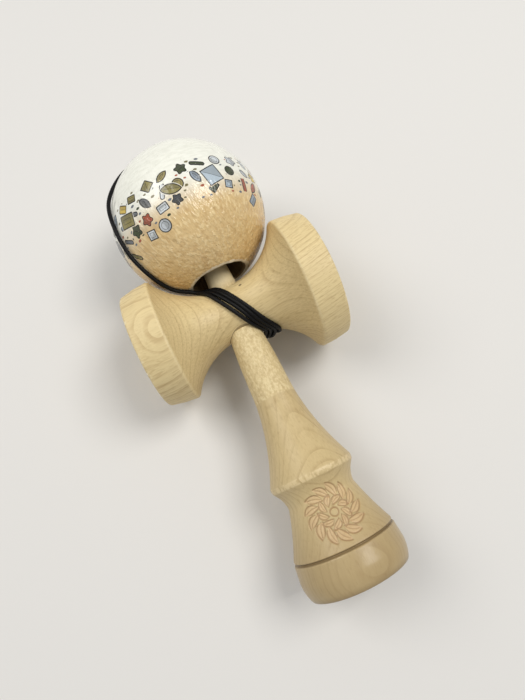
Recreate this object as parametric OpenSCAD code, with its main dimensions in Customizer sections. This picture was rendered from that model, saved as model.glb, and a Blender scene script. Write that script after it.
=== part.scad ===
// Kendama lying on a table, with its ball on the spike and its string wound round the crossing.
// The handle frame has X along the cross piece, Y along the handle towards the spike, Z away from the table.
// The lie() module then sets both cups, the base and the ball down on Z = 0.

/* [Ball] */
// Outside diameter of the ball
tama_d = 60; // [50:0.5:75]
// Diameter of the hole that takes the spike
spike_hole_d = 21.5; // [18:0.1:26]
// Depth of the spike hole from its mouth
spike_hole_depth = 43; // [40:0.5:44]
// Width of the bevel round the mouth of the spike hole
hole_bevel = 0.9; // [0.4:0.1:2]
// Diameter of the bore behind the spike hole that holds the bead
bead_bore_d = 9.6; // [9:0.1:12]
// Diameter of the hole that takes the string to the far pole
string_hole_d = 2.8; // [2.4:0.1:4]
// Wood left between the bead's seat and the far pole
pole_wall = 5.3; // [4.5:0.1:8]
// Angle by which the ball's hole dips towards the table
hole_dip = 3; // [0:0.5:4]
// Angle by which the ball's hole turns towards the big cup
hole_turn = 2; // [0:0.5:4]

/* [Bead] */
// Outside diameter of the bead
bead_d = 8.8; // [6:0.1:8.9]
// Length of the bead along its hole
bead_len = 5.8; // [4:0.1:7]

/* [Handle] */
// Spike diameter where it leaves the cross piece
spike_d = 10.8; // [9:0.1:10.9]
// Spike diameter at the tip
spike_tip_d = 6.2; // [4:0.1:8]
// Diameter of the spindle inside the cross piece
spindle_d = 11; // [11:0.1:13]
// Shaft diameter just below the cross piece
shaft_top_d = 12.6; // [12.2:0.1:14]
// Shaft diameter at the start of its flare
shaft_d = 15; // [14:0.1:18]
// Distance from the cross piece's axis to the start of the flare
flare_pos = 34; // [28:0.5:40]
// Distance from the cross piece's axis to the ring edge
ring_pos = 65.2; // [58:0.2:70]
// Diameter of the ring edge
ring_d = 31; // [26:0.2:34]
// Width of the flat band below the ring edge
ring_band = 1.5; // [0.8:0.1:3]
// Distance from the cross piece's axis to the neck
neck_pos = 73.6; // [70:0.2:78]
// Diameter of the neck
neck_d = 24.6; // [20:0.2:28]
// Distance from the cross piece's axis to the groove above the base
groove_pos = 90.2; // [84:0.2:94]
// Diameter of the handle at the groove
groove_d = 36.4; // [32:0.2:40]
// Depth of the groove
groove_depth = 0.9; // [0.4:0.1:1.5]
// Width of the groove
groove_w = 1.1; // [0.6:0.1:2]
// Greatest diameter of the base
base_d = 38; // [34:0.2:42]
// Distance from the cross piece's axis to the base's greatest diameter
base_pos = 96.4; // [93:0.2:99]
// Distance from the cross piece's axis to the rim of the base cup
handle_len = 102.6; // [98:0.2:108]
// Outside diameter of the base cup's flat rim
base_rim_d = 35.2; // [32:0.2:38]
// Width of the base cup's flat rim
base_rim_w = 1.6; // [1:0.1:3]
// Depth of the base cup
base_cup_depth = 7; // [5:0.2:9]

/* [Cross piece] */
// Overall length of the cross piece
cross_len = 73; // [66:0.5:80]
// Diameter of the waist
waist_d = 20.4; // [18:0.2:24]
// Half length of the straight part of the waist
waist_half = 2; // [1:0.5:4]
// Distance from the handle's axis to the edge of each flank
edge_pos = 25.3; // [23:0.1:28]
// Diameter of the big cup's edge
big_edge_d = 51.6; // [46:0.2:58]
// Diameter of the small cup's edge
small_edge_d = 47.6; // [42:0.2:54]
// Outside diameter of the big cup's rim
big_rim_d = 49.4; // [44:0.2:56]
// Outside diameter of the small cup's rim
small_rim_d = 44.6; // [40:0.2:50]
// Width of each cup's flat rim
cup_rim_w = 1.8; // [1:0.1:3]
// Depth of the big cup
big_cup_depth = 11.5; // [9:0.5:14]
// Depth of the small cup
small_cup_depth = 10; // [8:0.5:12]
// Depth of the seat that takes the top of the shaft
shaft_seat_depth = 1.8; // [1:0.1:3]

/* [String] */
// Diameter of the string
string_d = 1.3; // [1.1:0.1:1.4]
// Turns of the string round the crossing
winding_turns = 3.75; // [1.75:1:3.75]
// Shift of the winding along the cross piece for each turn
winding_pitch = 2.05; // [2:0.05:2.4]
// Diameter of each knot
knot_d = 3.8; // [3.2:0.1:4.2]
// Diameter of the pocket in the spindle that holds the end knot
knot_pocket_d = 5; // [4.6:0.1:6]
// Diameter of the string's hole through the waist and the spindle
anchor_hole_d = 2.6; // [2.2:0.1:3]

/* [Clearances] */
// Gap between the ball and the edges that it leans on
ball_gap = 0.7; // [0.3:0.05:0.9]
// Gap between the string and what it lies on
lay_gap = 0.3; // [0.2:0.05:0.5]
// Gap round the spindle and the top of the shaft in the cross piece
spindle_gap = 0.15; // [0.05:0.05:0.3]
// Gap between the spike's tip and the end of the spike hole
tip_gap = 1.8; // [1:0.1:3]

/* [Hidden] */
$fn = 72;

maple = [0.86, 0.72, 0.50];
pale_maple = [0.88, 0.77, 0.55];
ball_wood = [0.80, 0.62, 0.40];
bead_brown = [0.45, 0.30, 0.18];
string_black = [0.05, 0.05, 0.06];

tama_r = tama_d / 2;
string_r = string_d / 2;
waist_r = waist_d / 2;
edge_round = 0.5;

// Flank of the cross piece: an arc that leaves the waist level and ends at the cup's edge.
function flank_r(edge_d) =
    let (rise = edge_d / 2 - waist_r, run = edge_pos - waist_half)
    (run * run + rise * rise) / (2 * rise);
function cross_r(x) =
    let (r = flank_r(x > 0 ? big_edge_d : small_edge_d), run = max(0, abs(x) - waist_half))
    waist_r + r - sqrt(r * r - run * run);

// Rest on the table: the plane that touches both cup edges and the base.
roll = atan((big_edge_d - small_edge_d) / 2 / (2 * edge_pos));
axis_drop = big_edge_d / 2 * cos(roll) - edge_pos * sin(roll);
pitch = asin(axis_drop / norm([base_pos, base_d / 2])) - atan2(base_d / 2, base_pos);
side_turn = atan2(sin(roll), sqrt(1 - pow(sin(roll), 2) - pow(sin(pitch), 2)));

// Ball: leans on both edges with ball_gap and touches the table.
seat_r = tama_r + ball_gap;
edge_gap = [2 * edge_pos, (big_edge_d - small_edge_d) / 2];
edge_mid = [0, (big_edge_d + small_edge_d) / 4];
edge_out = [-edge_gap[1], edge_gap[0]] / norm(edge_gap);
ball_seat = edge_mid + edge_out * sqrt(seat_r * seat_r - pow(norm(edge_gap) / 2, 2));
tama_x = ball_seat[0];
function ball_z(y) =
    ((tama_r - axis_drop - y * sin(pitch)) / cos(pitch) - tama_x * sin(side_turn)) / cos(side_turn);
tama_z = ball_z(sqrt(pow(ball_seat[1], 2) - pow(ball_z(ball_seat[1]), 2)));
tama_y = sqrt(pow(ball_seat[1], 2) - tama_z * tama_z);
tama_at = [tama_x, tama_y, tama_z];

// Turns a direction of the handle frame as the ball leans on the spike.
function leaned(v) =
    let (
        y = v[1] * cos(hole_dip) - v[2] * sin(hole_dip),
        z = v[1] * sin(hole_dip) + v[2] * cos(hole_dip)
    )
    [v[0] * cos(hole_turn) - y * sin(hole_turn), v[0] * sin(hole_turn) + y * cos(hole_turn), z];

// Places along the ball's own axis, from its centre towards the far pole.
mouth_y = -sqrt(tama_r * tama_r - pow(spike_hole_d / 2 + hole_bevel, 2));
hole_end = mouth_y + spike_hole_depth;
knot_flat = anchor_hole_d / 2 + 0.3;
knot_h = knot_d / 2 + sqrt(pow(knot_d / 2, 2) - knot_flat * knot_flat);
bead_seat = tama_r - pole_wall;
bead_low = bead_seat - bead_len;
knot_end = bead_low - knot_h;
spike_len = tama_y + min(hole_end, knot_end) - tip_gap;
exit_bend = 2 * string_d;
lead_end = tama_r + string_r + lay_gap - exit_bend - string_d;

// Places across the spindle.
spindle_r = spindle_d / 2;
pocket_floor = spindle_r - knot_h - 0.6;
coil_r = waist_r + string_r + lay_gap;
anchor_end = exit_bend + string_d - coil_r;

// Centre of the whole part's footprint, so that it sits on the origin.
foot_x = ((big_rim_d - small_rim_d) / 2 * sin(side_turn)) / 2;
foot_y = (tama_y * cos(pitch) - tama_z * sin(pitch) + tama_r
          - handle_len * cos(pitch) - base_rim_d / 2 * sin(pitch)) / 2;

// Sets the handle frame down on the table, with the footprint centred on the origin.
module lie() {
    translate([-foot_x, -foot_y, axis_drop])
        rotate([pitch, 0, 0])
            rotate([0, -side_turn, 0])
                children();
}

function unit(v) = v / norm(v);
function arc(centre, r, from, to, steps) =
    [for (i = [0 : steps]) let (a = from + (to - from) * i / steps) centre + r * [cos(a), sin(a)]];

// Outline of a cup's hollow, as radius and depth below the rim, from the middle to the rim.
function dish(rim_r, depth, steps) =
    let (r = (rim_r * rim_r + depth * depth) / (2 * depth), half = asin(rim_r / r))
    [for (i = [0 : steps]) let (a = half * i / steps) [r * sin(a), depth - r * (1 - cos(a))]];

// Turned handle, standing on its base along Z with the cross piece's axis at Z = 0.
module handle_profile() {
    flare_rise = ring_d / 2 - shaft_d / 2;
    flare = [for (i = [0 : 9]) let (s = i / 9)
        [shaft_d / 2 + flare_rise * (0.22 * s + 0.78 * s * s), -flare_pos - (ring_pos - flare_pos) * s]];
    neck_r = neck_d / 2;
    skirt_top = groove_pos - groove_w / 2;
    skirt_rise = groove_d / 2 - neck_r;
    skirt = [for (i = [0 : 7]) let (s = i / 7)
        [neck_r + skirt_rise * (0.75 * s + 0.25 * s * s), -neck_pos - (skirt_top - neck_pos) * s]];
    throat = [for (i = [0 : 3]) let (s = i / 4)
        [ring_d / 2 - 0.2 - (ring_d / 2 - 0.2 - neck_r) * (1 - pow(1 - s, 2)),
         -ring_pos - ring_band - (neck_pos - ring_pos - ring_band) * s]];
    belly = [for (i = [0 : 8]) let (s = i / 8)
        [base_d / 2 - (base_d / 2 - base_rim_d / 2) * pow(s, 2.2), -base_pos - (handle_len - base_pos) * s]];
    hollow = [for (p = dish(base_rim_d / 2 - base_rim_w, base_cup_depth, 7)) [p[0], p[1] - handle_len]];
    polygon(concat(
        [[0, spike_len], [spike_tip_d / 2 - 1, spike_len]],
        arc([spike_tip_d / 2 - 1, spike_len - 1], 1, 60, 10, 3),
        [[spike_d / 2, waist_r], [spike_d / 2, waist_r - 1], [spindle_r, waist_r - 2]],
        [[spindle_r, shaft_seat_depth - waist_r], [shaft_top_d / 2, shaft_seat_depth - waist_r]],
        [[shaft_top_d / 2, -waist_r - 0.8], [shaft_d / 2 - 0.45, -flare_pos * 0.62]],
        flare,
        throat,
        skirt,
        [[groove_d / 2 - groove_depth, -groove_pos], [groove_d / 2 + 0.2, -groove_pos - groove_w / 2]],
        belly,
        [for (i = [len(hollow) - 1 : -1 : 0]) hollow[i]]
    ));
}

module ken() {
    color(maple) lie() difference() {
        rotate([-90, 0, 0]) rotate_extrude() handle_profile();
        translate([0, 0, -spindle_r - 1]) cylinder(d = anchor_hole_d, h = 2 * spindle_r);
        translate([0, 0, pocket_floor]) cylinder(d = knot_pocket_d, h = spindle_r);
    }
}

// Half outline of one end of the cross piece, as radius and distance from the handle's axis.
function end_outline(edge_d, rim_d, depth) =
    let (
        r = flank_r(edge_d),
        sweep = asin((edge_pos - waist_half) / r),
        rim_r = rim_d / 2,
        end = cross_len / 2,
        hollow = dish(rim_r - cup_rim_w, depth, 8)
    )
    concat(
        [for (i = [0 : 10]) let (a = sweep * i / 10)
            [waist_r + r * (1 - cos(a)), waist_half + r * sin(a) - (i == 10 ? edge_round : 0)]],
        [[edge_d / 2, edge_pos + edge_round]],
        [[(edge_d + rim_d) / 4 + 0.25, (edge_pos + end) / 2], [rim_r, end - 0.9]],
        arc([rim_r - 0.9, end - 0.9], 0.9, 25, 90, 3),
        [for (i = [8 : -1 : 0]) [hollow[i][0], end - hollow[i][1]]]
    );

module cross_profile() {
    big = end_outline(big_edge_d, big_rim_d, big_cup_depth);
    small = end_outline(small_edge_d, small_rim_d, small_cup_depth);
    polygon(concat(big, [for (i = [len(small) - 1 : -1 : 0]) [small[i][0], -small[i][1]]]));
}

module sarado() {
    bore_r = spindle_r + spindle_gap;
    seat_hole_r = shaft_top_d / 2 + spindle_gap;
    color(pale_maple) lie() difference() {
        rotate([0, 90, 0]) rotate_extrude() cross_profile();
        rotate([90, 0, 0]) cylinder(r = bore_r, h = 3 * waist_r, center = true);
        translate([0, shaft_seat_depth - waist_r, 0])
            rotate([90, 0, 0]) cylinder(r = seat_hole_r, h = waist_r);
        translate([0, 0, -waist_r - 1]) cylinder(d = anchor_hole_d, h = waist_r);
        translate([0, 0, -waist_r - 0.2])
            cylinder(r1 = anchor_hole_d / 2 + 0.8, r2 = anchor_hole_d / 2, h = 0.8);
    }
}

// Places a shape on the ball's axis, with the far pole along +Z of the shape.
module on_ball_axis() {
    lie() translate(tama_at) rotate([hole_dip, 0, hole_turn]) rotate([-90, 0, 0]) children();
}

module tama() {
    color(ball_wood) on_ball_axis() difference() {
        sphere(r = tama_r);
        translate([0, 0, -tama_r - 1]) cylinder(d = spike_hole_d, h = hole_end + tama_r + 1);
        translate([0, 0, mouth_y - 1])
            cylinder(r1 = spike_hole_d / 2 + hole_bevel + 1, r2 = spike_hole_d / 2, h = hole_bevel + 1);
        cylinder(d = bead_bore_d, h = bead_seat);
        cylinder(d = string_hole_d, h = tama_r + 1);
        translate([0, 0, tama_r - 0.7])
            cylinder(r1 = string_hole_d / 2, r2 = string_hole_d / 2 + 1, h = 1);
    }
}

module bead() {
    color(bead_brown) on_ball_axis() translate([0, 0, bead_low]) difference() {
        intersection() {
            cylinder(d = bead_d, h = bead_len);
            translate([0, 0, bead_len / 2]) sphere(r = norm([bead_len / 2, bead_d * 0.38]));
        }
        translate([0, 0, -1]) cylinder(d = string_d + 2 * lay_gap, h = bead_len + 2);
    }
}

// Knot with a flat face at Z = 0 that bears on what holds it, hanging below.
module knot() {
    difference() {
        translate([0, 0, knot_d / 2 - knot_h]) sphere(d = knot_d);
        cylinder(d = 2 * knot_d, h = knot_d);
    }
}

module bead_knot() {
    color(string_black) on_ball_axis() translate([0, 0, bead_low]) knot();
}

module end_knot() {
    color(string_black) lie() translate([0, 0, pocket_floor]) mirror([0, 0, 1]) knot();
}

module string_lead() {
    color(string_black) on_ball_axis() translate([0, 0, bead_low])
        cylinder(d = string_d, h = lead_end - bead_low);
}

module string_anchor() {
    color(string_black) lie() translate([0, 0, anchor_end])
        cylinder(d = string_d, h = pocket_floor - anchor_end);
}

// Winding: laid on the flared waist, left of the spike above and right of the shaft below.
// Each turn runs aslant over the front, and the last one dips under the others to the hole in the back.
winding_start = 0.08;
winding_mid = (winding_turns - 0.25) / 2;
half_span = winding_pitch * (winding_turns / 2 - 0.625);
winding_shift = 0.5;
under_lift = string_d + 0.6;
slant = 6.3;
side_step = max(shaft_top_d / 2 + 0.5 - winding_shift, spike_d / 2 + 0.5 + winding_shift)
    + string_r + half_span - slant;
function smooth(v) = let (t = min(1, max(0, v))) t * t * (3 - 2 * t);
function winding_x(u) =
    let (
        c = cos(360 * u),
        to_hole = smooth((u - winding_turns + 0.17) / 0.16),
        shift = winding_pitch * (u - winding_mid) + winding_shift
    )
    shift * (1 - to_hole) - slant * c - side_step * pow(c, 7);
function winding_r(u) =
    let (rise = u < winding_turns - 0.5 ? under_lift * smooth((-sin(360 * u) - 0.05) / 0.42) : 0)
    cross_r(winding_x(u)) + string_r + lay_gap + rise;
function winding_point(u) =
    let (r = winding_r(u))
    [winding_x(u), r * cos(360 * u), r * sin(360 * u)];

// Bend into the string hole in the back of the waist, then straight in for one diameter.
bend_from = winding_turns - asin(exit_bend * cos(28) / coil_r) / 360;
bend_dir = let (p = winding_point(bend_from)) [p[0], p[1], 0] / norm([p[0], p[1]]);
hole_bend = [for (a = [22.5 : 22.5 : 90])
    bend_dir * exit_bend * (1 - sin(a)) + [0, 0, exit_bend * (1 - cos(a)) - coil_r]];
winding_rings = round(24 * (bend_from - winding_start));
winding_step = (bend_from - winding_start) / winding_rings;
winding_path = concat(
    [for (i = [0 : winding_rings]) winding_point(winding_start + winding_step * i)],
    hole_bend,
    [[0, 0, anchor_end]]
);
winding_dir = unit(winding_point(winding_start + 0.01) - winding_point(winding_start));
winding_side = unit(cross(winding_dir, [1, 0, 0]));

// Run over the ball: angle from the handle's direction and turn about it, chosen by eye.
run_angles = [[16, 31], [24, 31.5], [32, 29.75], [40, 27.25], [48, 25.75], [56, 25.5], [64, 26.5], [72, 28.5],
              [80, 30.25], [88, 31], [96, 30.5], [104, 29], [112, 27], [120, 25], [128, 22], [135, 18],
              [142, 13], [148, 8]];
run_lift = tama_r + string_r + lay_gap;
function on_ball(polar, turn) =
    tama_at + run_lift * [-sin(polar) * cos(turn), cos(polar), sin(polar) * sin(turn)];
// Point moved out from the ball's middle until the string there clears the ball.
function off_ball(p) = tama_at + (p - tama_at) * max(1, run_lift / norm(p - tama_at));
// Last stretch of the run, from the ball down to the winding.
run_last = [off_ball([-14, 14.6, 4.4]), off_ball([-12.2, 13.4, 4])];
run_side = [-cos(run_angles[0][1]), 0, sin(run_angles[0][1])];
pole_bend = [for (a = [0 : 30 : 90])
    tama_at + leaned(run_side * exit_bend * (1 - cos(a)) + [0, lead_end + string_d + exit_bend * sin(a), 0])];
run_path = concat(
    [tama_at + leaned([0, lead_end, 0])],
    pole_bend,
    [for (p = run_angles) on_ball(p[0], p[1])],
    run_last,
    [winding_path[0] - winding_dir * string_d, winding_path[0]]
);

// Direction of a path at each point, with chosen directions at its two ends.
function headings(path, first, last) =
    let (n = len(path) - 1)
    concat(
        [first],
        [for (i = [1 : n - 1]) unit(unit(path[i + 1] - path[i]) + unit(path[i] - path[i - 1]))],
        [last]
    );
// Cross direction carried along the path without twist.
function sides(dirs, start) =
    [for (i = 0, s = start; i < len(dirs);
          i = i + 1, s = i < len(dirs) ? unit(s - dirs[i] * (s * dirs[i])) : s) s];

// Round tube with one ring of points at each point of a path.
module tube(path, first, last, start_side, ring_sides) {
    dirs = headings(path, first, last);
    across = sides(dirs, start_side);
    n = len(path);
    rings = [for (i = [0 : n - 1]) for (k = [0 : ring_sides - 1]) let (a = 360 * k / ring_sides)
        path[i] + string_r * (across[i] * cos(a) + cross(dirs[i], across[i]) * sin(a))];
    walls = [for (i = [0 : n - 2]) for (k = [0 : ring_sides - 1])
        let (k2 = (k + 1) % ring_sides, low = i * ring_sides, high = low + ring_sides)
        each [[low + k, high + k, high + k2], [low + k, high + k2, low + k2]]];
    polyhedron(
        points = rings,
        faces = concat(
            [[for (k = [0 : ring_sides - 1]) k]],
            walls,
            [[for (k = [ring_sides - 1 : -1 : 0]) (n - 1) * ring_sides + k]]
        )
    );
}

// Least gap between stretches of the winding that are a quarter of a turn or more apart.
winding_gap = min([for (i = [0 : len(winding_path) - 1]) for (j = [0 : len(winding_path) - 1])
    if (j - i > 8) norm(winding_path[j] - winding_path[i])]) - string_d;
echo(winding_gap = winding_gap);

module string_run() {
    color(string_black) lie() tube(run_path, leaned([0, 1, 0]), winding_dir, leaned([0, 0, 1]), 8);
}

module string_winding() {
    color(string_black) lie() tube(winding_path, winding_dir, [0, 0, 1], winding_side, 6);
}

ken();
sarado();
tama();
bead();
bead_knot();
string_lead();
string_run();
string_winding();
string_anchor();
end_knot();
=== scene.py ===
"""Dresses a kendama that lies with its ball on the spike and its string wound round the crossing.

The turned pieces are surfaces of revolution worked out with numpy, the string is one braided tube, and every
finish is made of shader nodes. Lengths in the classes are millimetres in the handle's own frame: X along the
cross piece towards the big cup, Y along the handle towards the spike, Z away from the table. The Lay class
turns them into the row frame in metres.
"""
from __future__ import annotations

import logging
import math
from collections.abc import Iterable
from dataclasses import dataclass, field
from enum import Enum

import bpy
import numpy as np
from mathutils import Euler, Matrix, Vector


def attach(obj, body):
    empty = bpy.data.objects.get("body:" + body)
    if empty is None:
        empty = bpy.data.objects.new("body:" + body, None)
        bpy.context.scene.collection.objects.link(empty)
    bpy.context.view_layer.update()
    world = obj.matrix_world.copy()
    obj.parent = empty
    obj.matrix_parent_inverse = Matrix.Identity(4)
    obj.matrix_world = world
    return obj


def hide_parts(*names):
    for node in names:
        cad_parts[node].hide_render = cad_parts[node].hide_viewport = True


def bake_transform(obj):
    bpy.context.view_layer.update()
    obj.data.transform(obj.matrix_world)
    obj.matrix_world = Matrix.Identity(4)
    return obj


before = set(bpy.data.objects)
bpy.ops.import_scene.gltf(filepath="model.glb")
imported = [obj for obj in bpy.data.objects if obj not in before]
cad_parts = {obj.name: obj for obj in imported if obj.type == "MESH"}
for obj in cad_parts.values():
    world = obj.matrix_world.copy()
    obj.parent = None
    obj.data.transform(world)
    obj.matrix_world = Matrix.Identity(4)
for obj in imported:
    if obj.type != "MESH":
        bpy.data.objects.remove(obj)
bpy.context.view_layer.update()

LOG = logging.getLogger("kendama")
Triple = tuple[float, float, float]
Rgba = tuple[float, float, float, float]
Feed = "Wire | float | tuple"
FULL_TURN = 2 * math.pi


# Frame and helpers


@dataclass(frozen=True)
class Lay:
    """How the handle's frame lies on the table: two small turns, then a shift."""

    pitch: float = 3.45842
    side_turn: float = 2.26761
    shift: Triple = (-0.0474803, 15.8278, 24.7807)

    def matrix(self) -> np.ndarray:
        """Turn about X by pitch after a turn about Y by minus side_turn.

        Returns:
            Array of shape (3, 3).
        """
        a, b = math.radians(self.pitch), math.radians(-self.side_turn)
        about_x = np.array([[1, 0, 0], [0, math.cos(a), -math.sin(a)], [0, math.sin(a), math.cos(a)]])
        about_y = np.array([[math.cos(b), 0, math.sin(b)], [0, 1, 0], [-math.sin(b), 0, math.cos(b)]])
        return about_x @ about_y

    def to_row(self, points: np.ndarray) -> np.ndarray:
        """Points of the handle frame in mm as points of the row frame in metres."""
        return (points @ self.matrix().T + np.array(self.shift)) / 1000.0

    def direction(self, vector: Triple) -> Vector:
        """A direction of the handle frame in the row frame."""
        return Vector(self.matrix() @ np.array(vector, float))

    def mapping(self, centre: Triple = (0, 0, 0), turn: Triple = (0, 0, 0)) -> tuple[Vector, Euler]:
        """Place and turn of a Mapping node that brings Object coordinates into a piece's own frame.

        Args:
            centre: origin of the piece's frame, in the handle frame, in mm.
            turn: turn of the piece's frame in the handle frame, as XYZ angles in degrees.

        Returns:
            Location in metres and rotation for a Mapping node of the Texture kind.
        """
        own = Euler([math.radians(v) for v in turn], "XYZ").to_matrix()
        whole = Matrix(self.matrix().tolist()) @ own
        return Vector(self.to_row(np.array([centre], float))[0]), whole.to_euler("XYZ")


LAY = Lay()


class Body(Enum):
    """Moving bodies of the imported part."""

    HANDLE = "handle"
    STRING_END = "string_end"
    BALL = "ball"


class Slot(Enum):
    """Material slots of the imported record."""

    HANDLE_WOOD = "handle_wood"
    CROSS_WOOD = "cross_wood"
    BALL_WOOD = "ball_wood"
    STRING = "string"


def srgb(red: float, green: float, blue: float) -> Rgba:
    """Linear colour that shaders read.

    Args:
        red: red of the screen's colour, from 0 to 255.
        green: green, likewise.
        blue: blue, likewise.

    Returns:
        The linear colour, with full cover.
    """
    c = np.array([red, green, blue]) / 255.0
    linear = np.where(c <= 0.04045, c / 12.92, ((c + 0.055) / 1.055) ** 2.4)
    return (*(float(v) for v in linear), 1.0)


def smooth_step(values: np.ndarray) -> np.ndarray:
    """Cubic step that leaves 0 and reaches 1 level."""
    t = np.clip(values, 0.0, 1.0)
    return t * t * (3.0 - 2.0 * t)


def fade(values: np.ndarray, full: float, gone: float) -> np.ndarray:
    """Smooth fall from 1 at the value full to 0 at the value gone."""
    return 1.0 - smooth_step((values - full) / (gone - full))


def unit(vectors: np.ndarray) -> np.ndarray:
    """Vectors of length 1 along the last axis."""
    return vectors / np.maximum(np.linalg.norm(vectors, axis=-1, keepdims=True), 1e-6)


def even_angles(columns: int) -> np.ndarray:
    """Angles of a ring's points at even steps."""
    return np.linspace(0.0, FULL_TURN, columns, endpoint=False)


def arc(centre: tuple[float, float], radius: float, start: float, end: float, steps: int) -> np.ndarray:
    """Points of a circle's arc between two angles in degrees."""
    a = np.radians(np.linspace(start, end, steps))
    return np.stack([centre[0] + radius * np.cos(a), centre[1] + radius * np.sin(a)], axis=1)


def bowl_radius(rim: float, depth: float) -> float:
    """Radius of the sphere that a bowl of that rim radius and depth is part of."""
    return (rim * rim + depth * depth) / (2 * depth)


def walked(line: np.ndarray) -> np.ndarray:
    """Distance gone at each point of a line."""
    return np.concatenate([[0.0], np.cumsum(np.linalg.norm(np.diff(line, axis=0), axis=1))])


def even_walk(line: np.ndarray, spacing: float) -> np.ndarray:
    """Evenly spaced points along a line.

    Args:
        line: corner points, shape (n, dimensions).
        spacing: distance between the new points, in mm.

    Returns:
        The new points, shape (m, dimensions).
    """
    gone = walked(line)
    at = np.linspace(0.0, gone[-1], int(gone[-1] / spacing) + 1)
    return np.stack([np.interp(at, gone, column) for column in line.T], axis=1)


def averaged(points: np.ndarray, reach: int, width: float) -> np.ndarray:
    """Points averaged with their neighbours by bell-shaped weights.

    Both ends are mirrored, so they stay where they are.

    Args:
        points: evenly spaced points, shape (n, dimensions).
        reach: neighbours that count on each side.
        width: width of the bell, in points.

    Returns:
        The new points, of the same shape.
    """
    weights = np.exp(-0.5 * (np.arange(-reach, reach + 1) / width) ** 2)
    weights /= weights.sum()
    head = 2 * points[0] - points[reach:0:-1]
    tail = 2 * points[-1] - points[-2:-reach - 2:-1]
    padded = np.concatenate([head, points, tail])
    return np.stack([np.convolve(column, weights, mode="valid") for column in padded.T], axis=1)


def soften(line: np.ndarray, spacing: float, radius: float) -> np.ndarray:
    """Evenly spaced copy of an outline, with its corners eased over about a radius in mm."""
    return averaged(even_walk(line, spacing), max(1, int(3 * radius / spacing)), radius / spacing)


def wobble(points: np.ndarray, scale: float, seed: float) -> np.ndarray:
    """Smooth unevenness of about plus or minus 1: a sum of five slanted sine waves.

    Args:
        points: points in mm, last axis of length 3.
        scale: rough size of the unevenness, in mm.
        seed: shifts the waves.

    Returns:
        One value for each point.
    """
    ways = np.array([[1.0, 0.31, 0.62], [-0.47, 0.93, 0.55], [0.22, -0.71, 1.08], [0.84, 0.77, -0.39],
                     [-0.93, 0.36, 0.81]])
    paces = np.array([[0.6], [0.8], [1.0], [1.25], [1.6]]) * FULL_TURN / scale
    phases = seed * np.array([1.0, 2.3, 3.1, 4.7, 5.9])
    return np.sin(points @ (ways * paces).T + phases).mean(axis=-1) * 1.6


class SurfaceMaker:
    """Turns grids of points into mesh objects at the origin."""

    @staticmethod
    def quads(rows: int, columns: int, close_rows: bool) -> np.ndarray:
        """Corner numbers of the faces between neighbouring rows, each row a closed ring.

        Args:
            rows: number of rows of points.
            columns: number of points in a row.
            close_rows: also joins the last row to the first.

        Returns:
            Array of shape (faces, 4).
        """
        counts = np.arange(rows if close_rows else rows - 1), np.arange(columns)
        r, c = (v.ravel() for v in np.meshgrid(*counts, indexing="ij"))
        r2, c2 = (r + 1) % rows, (c + 1) % columns
        return np.stack([r * columns + c, r * columns + c2, r2 * columns + c2, r2 * columns + c], axis=1)

    @staticmethod
    def fan(ring: np.ndarray, tip: int) -> np.ndarray:
        """Triangles from a closed ring of corner numbers to a tip."""
        return np.stack([ring, np.roll(ring, -1), np.full(ring.shape, tip)], axis=1)

    @classmethod
    def grid(cls, name: str, points: np.ndarray, close_rows: bool = False, tips: bool = False,
             flip: bool = False) -> bpy.types.Object:
        """Closed surface from rows of points, each row a closed ring.

        Args:
            name: object's name.
            points: row frame points in metres, shape (rows, columns, 3).
            close_rows: joins the last ring to the first, as on a ring-shaped surface.
            tips: closes both ends with a fan to the middle of the end ring.
            flip: turns the faces round.

        Returns:
            The new mesh object, smooth shaded.
        """
        rows, columns = points.shape[:2]
        quads = cls.quads(rows, columns, close_rows)
        flat = points.reshape(-1, 3)
        triangles = np.zeros((0, 3), int)
        if tips:
            flat = np.concatenate([flat, points[:1].mean(axis=1), points[-1:].mean(axis=1)])
            first, ring = rows * columns, np.arange(columns)
            triangles = np.concatenate([cls.fan(ring[::-1], first),
                                        cls.fan(ring + (rows - 1) * columns, first + 1)])
        if flip:
            quads, triangles = quads[:, ::-1], triangles[:, ::-1]
        return cls.mesh_object(name, flat, quads, triangles)

    @staticmethod
    def mesh_object(name: str, points: np.ndarray, quads: np.ndarray,
                    triangles: np.ndarray) -> bpy.types.Object:
        """Mesh object from whole arrays of corners and faces.

        Args:
            name: object's name.
            points: row frame points in metres, shape (n, 3).
            quads: corner numbers, shape (faces, 4).
            triangles: corner numbers, shape (faces, 3).

        Returns:
            The object, smooth shaded and linked to the scene.
        """
        mesh = bpy.data.meshes.new(name)
        corners = np.concatenate([quads.ravel(), triangles.ravel()]).astype(np.int32)
        sizes = np.concatenate([np.full(len(quads), 4), np.full(len(triangles), 3)]).astype(np.int32)
        starts = np.concatenate([[0], np.cumsum(sizes)[:-1]]).astype(np.int32)
        mesh.vertices.add(len(points))
        mesh.vertices.foreach_set("co", points.astype(np.float32).ravel())
        mesh.loops.add(len(corners))
        mesh.loops.foreach_set("vertex_index", corners)
        mesh.polygons.add(len(sizes))
        mesh.polygons.foreach_set("loop_start", starts)
        mesh.polygons.foreach_set("loop_total", sizes)
        mesh.polygons.foreach_set("use_smooth", np.ones(len(sizes), bool))
        mesh.update(calc_edges=True)
        mesh.validate()
        obj = bpy.data.objects.new(name, mesh)
        bpy.context.scene.collection.objects.link(obj)
        return obj

    @staticmethod
    def store(obj: bpy.types.Object, name: str, values: np.ndarray, rest: float) -> None:
        """Stores a value for each of a mesh's points.

        Args:
            obj: the mesh object.
            name: name of the attribute.
            values: values of the first points.
            rest: value of the tips, which come after them.
        """
        whole = np.full(len(obj.data.vertices), rest, np.float32)
        whole[:values.size] = values.ravel()
        obj.data.attributes.new(name, "FLOAT", "POINT").data.foreach_set("value", whole)


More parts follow.
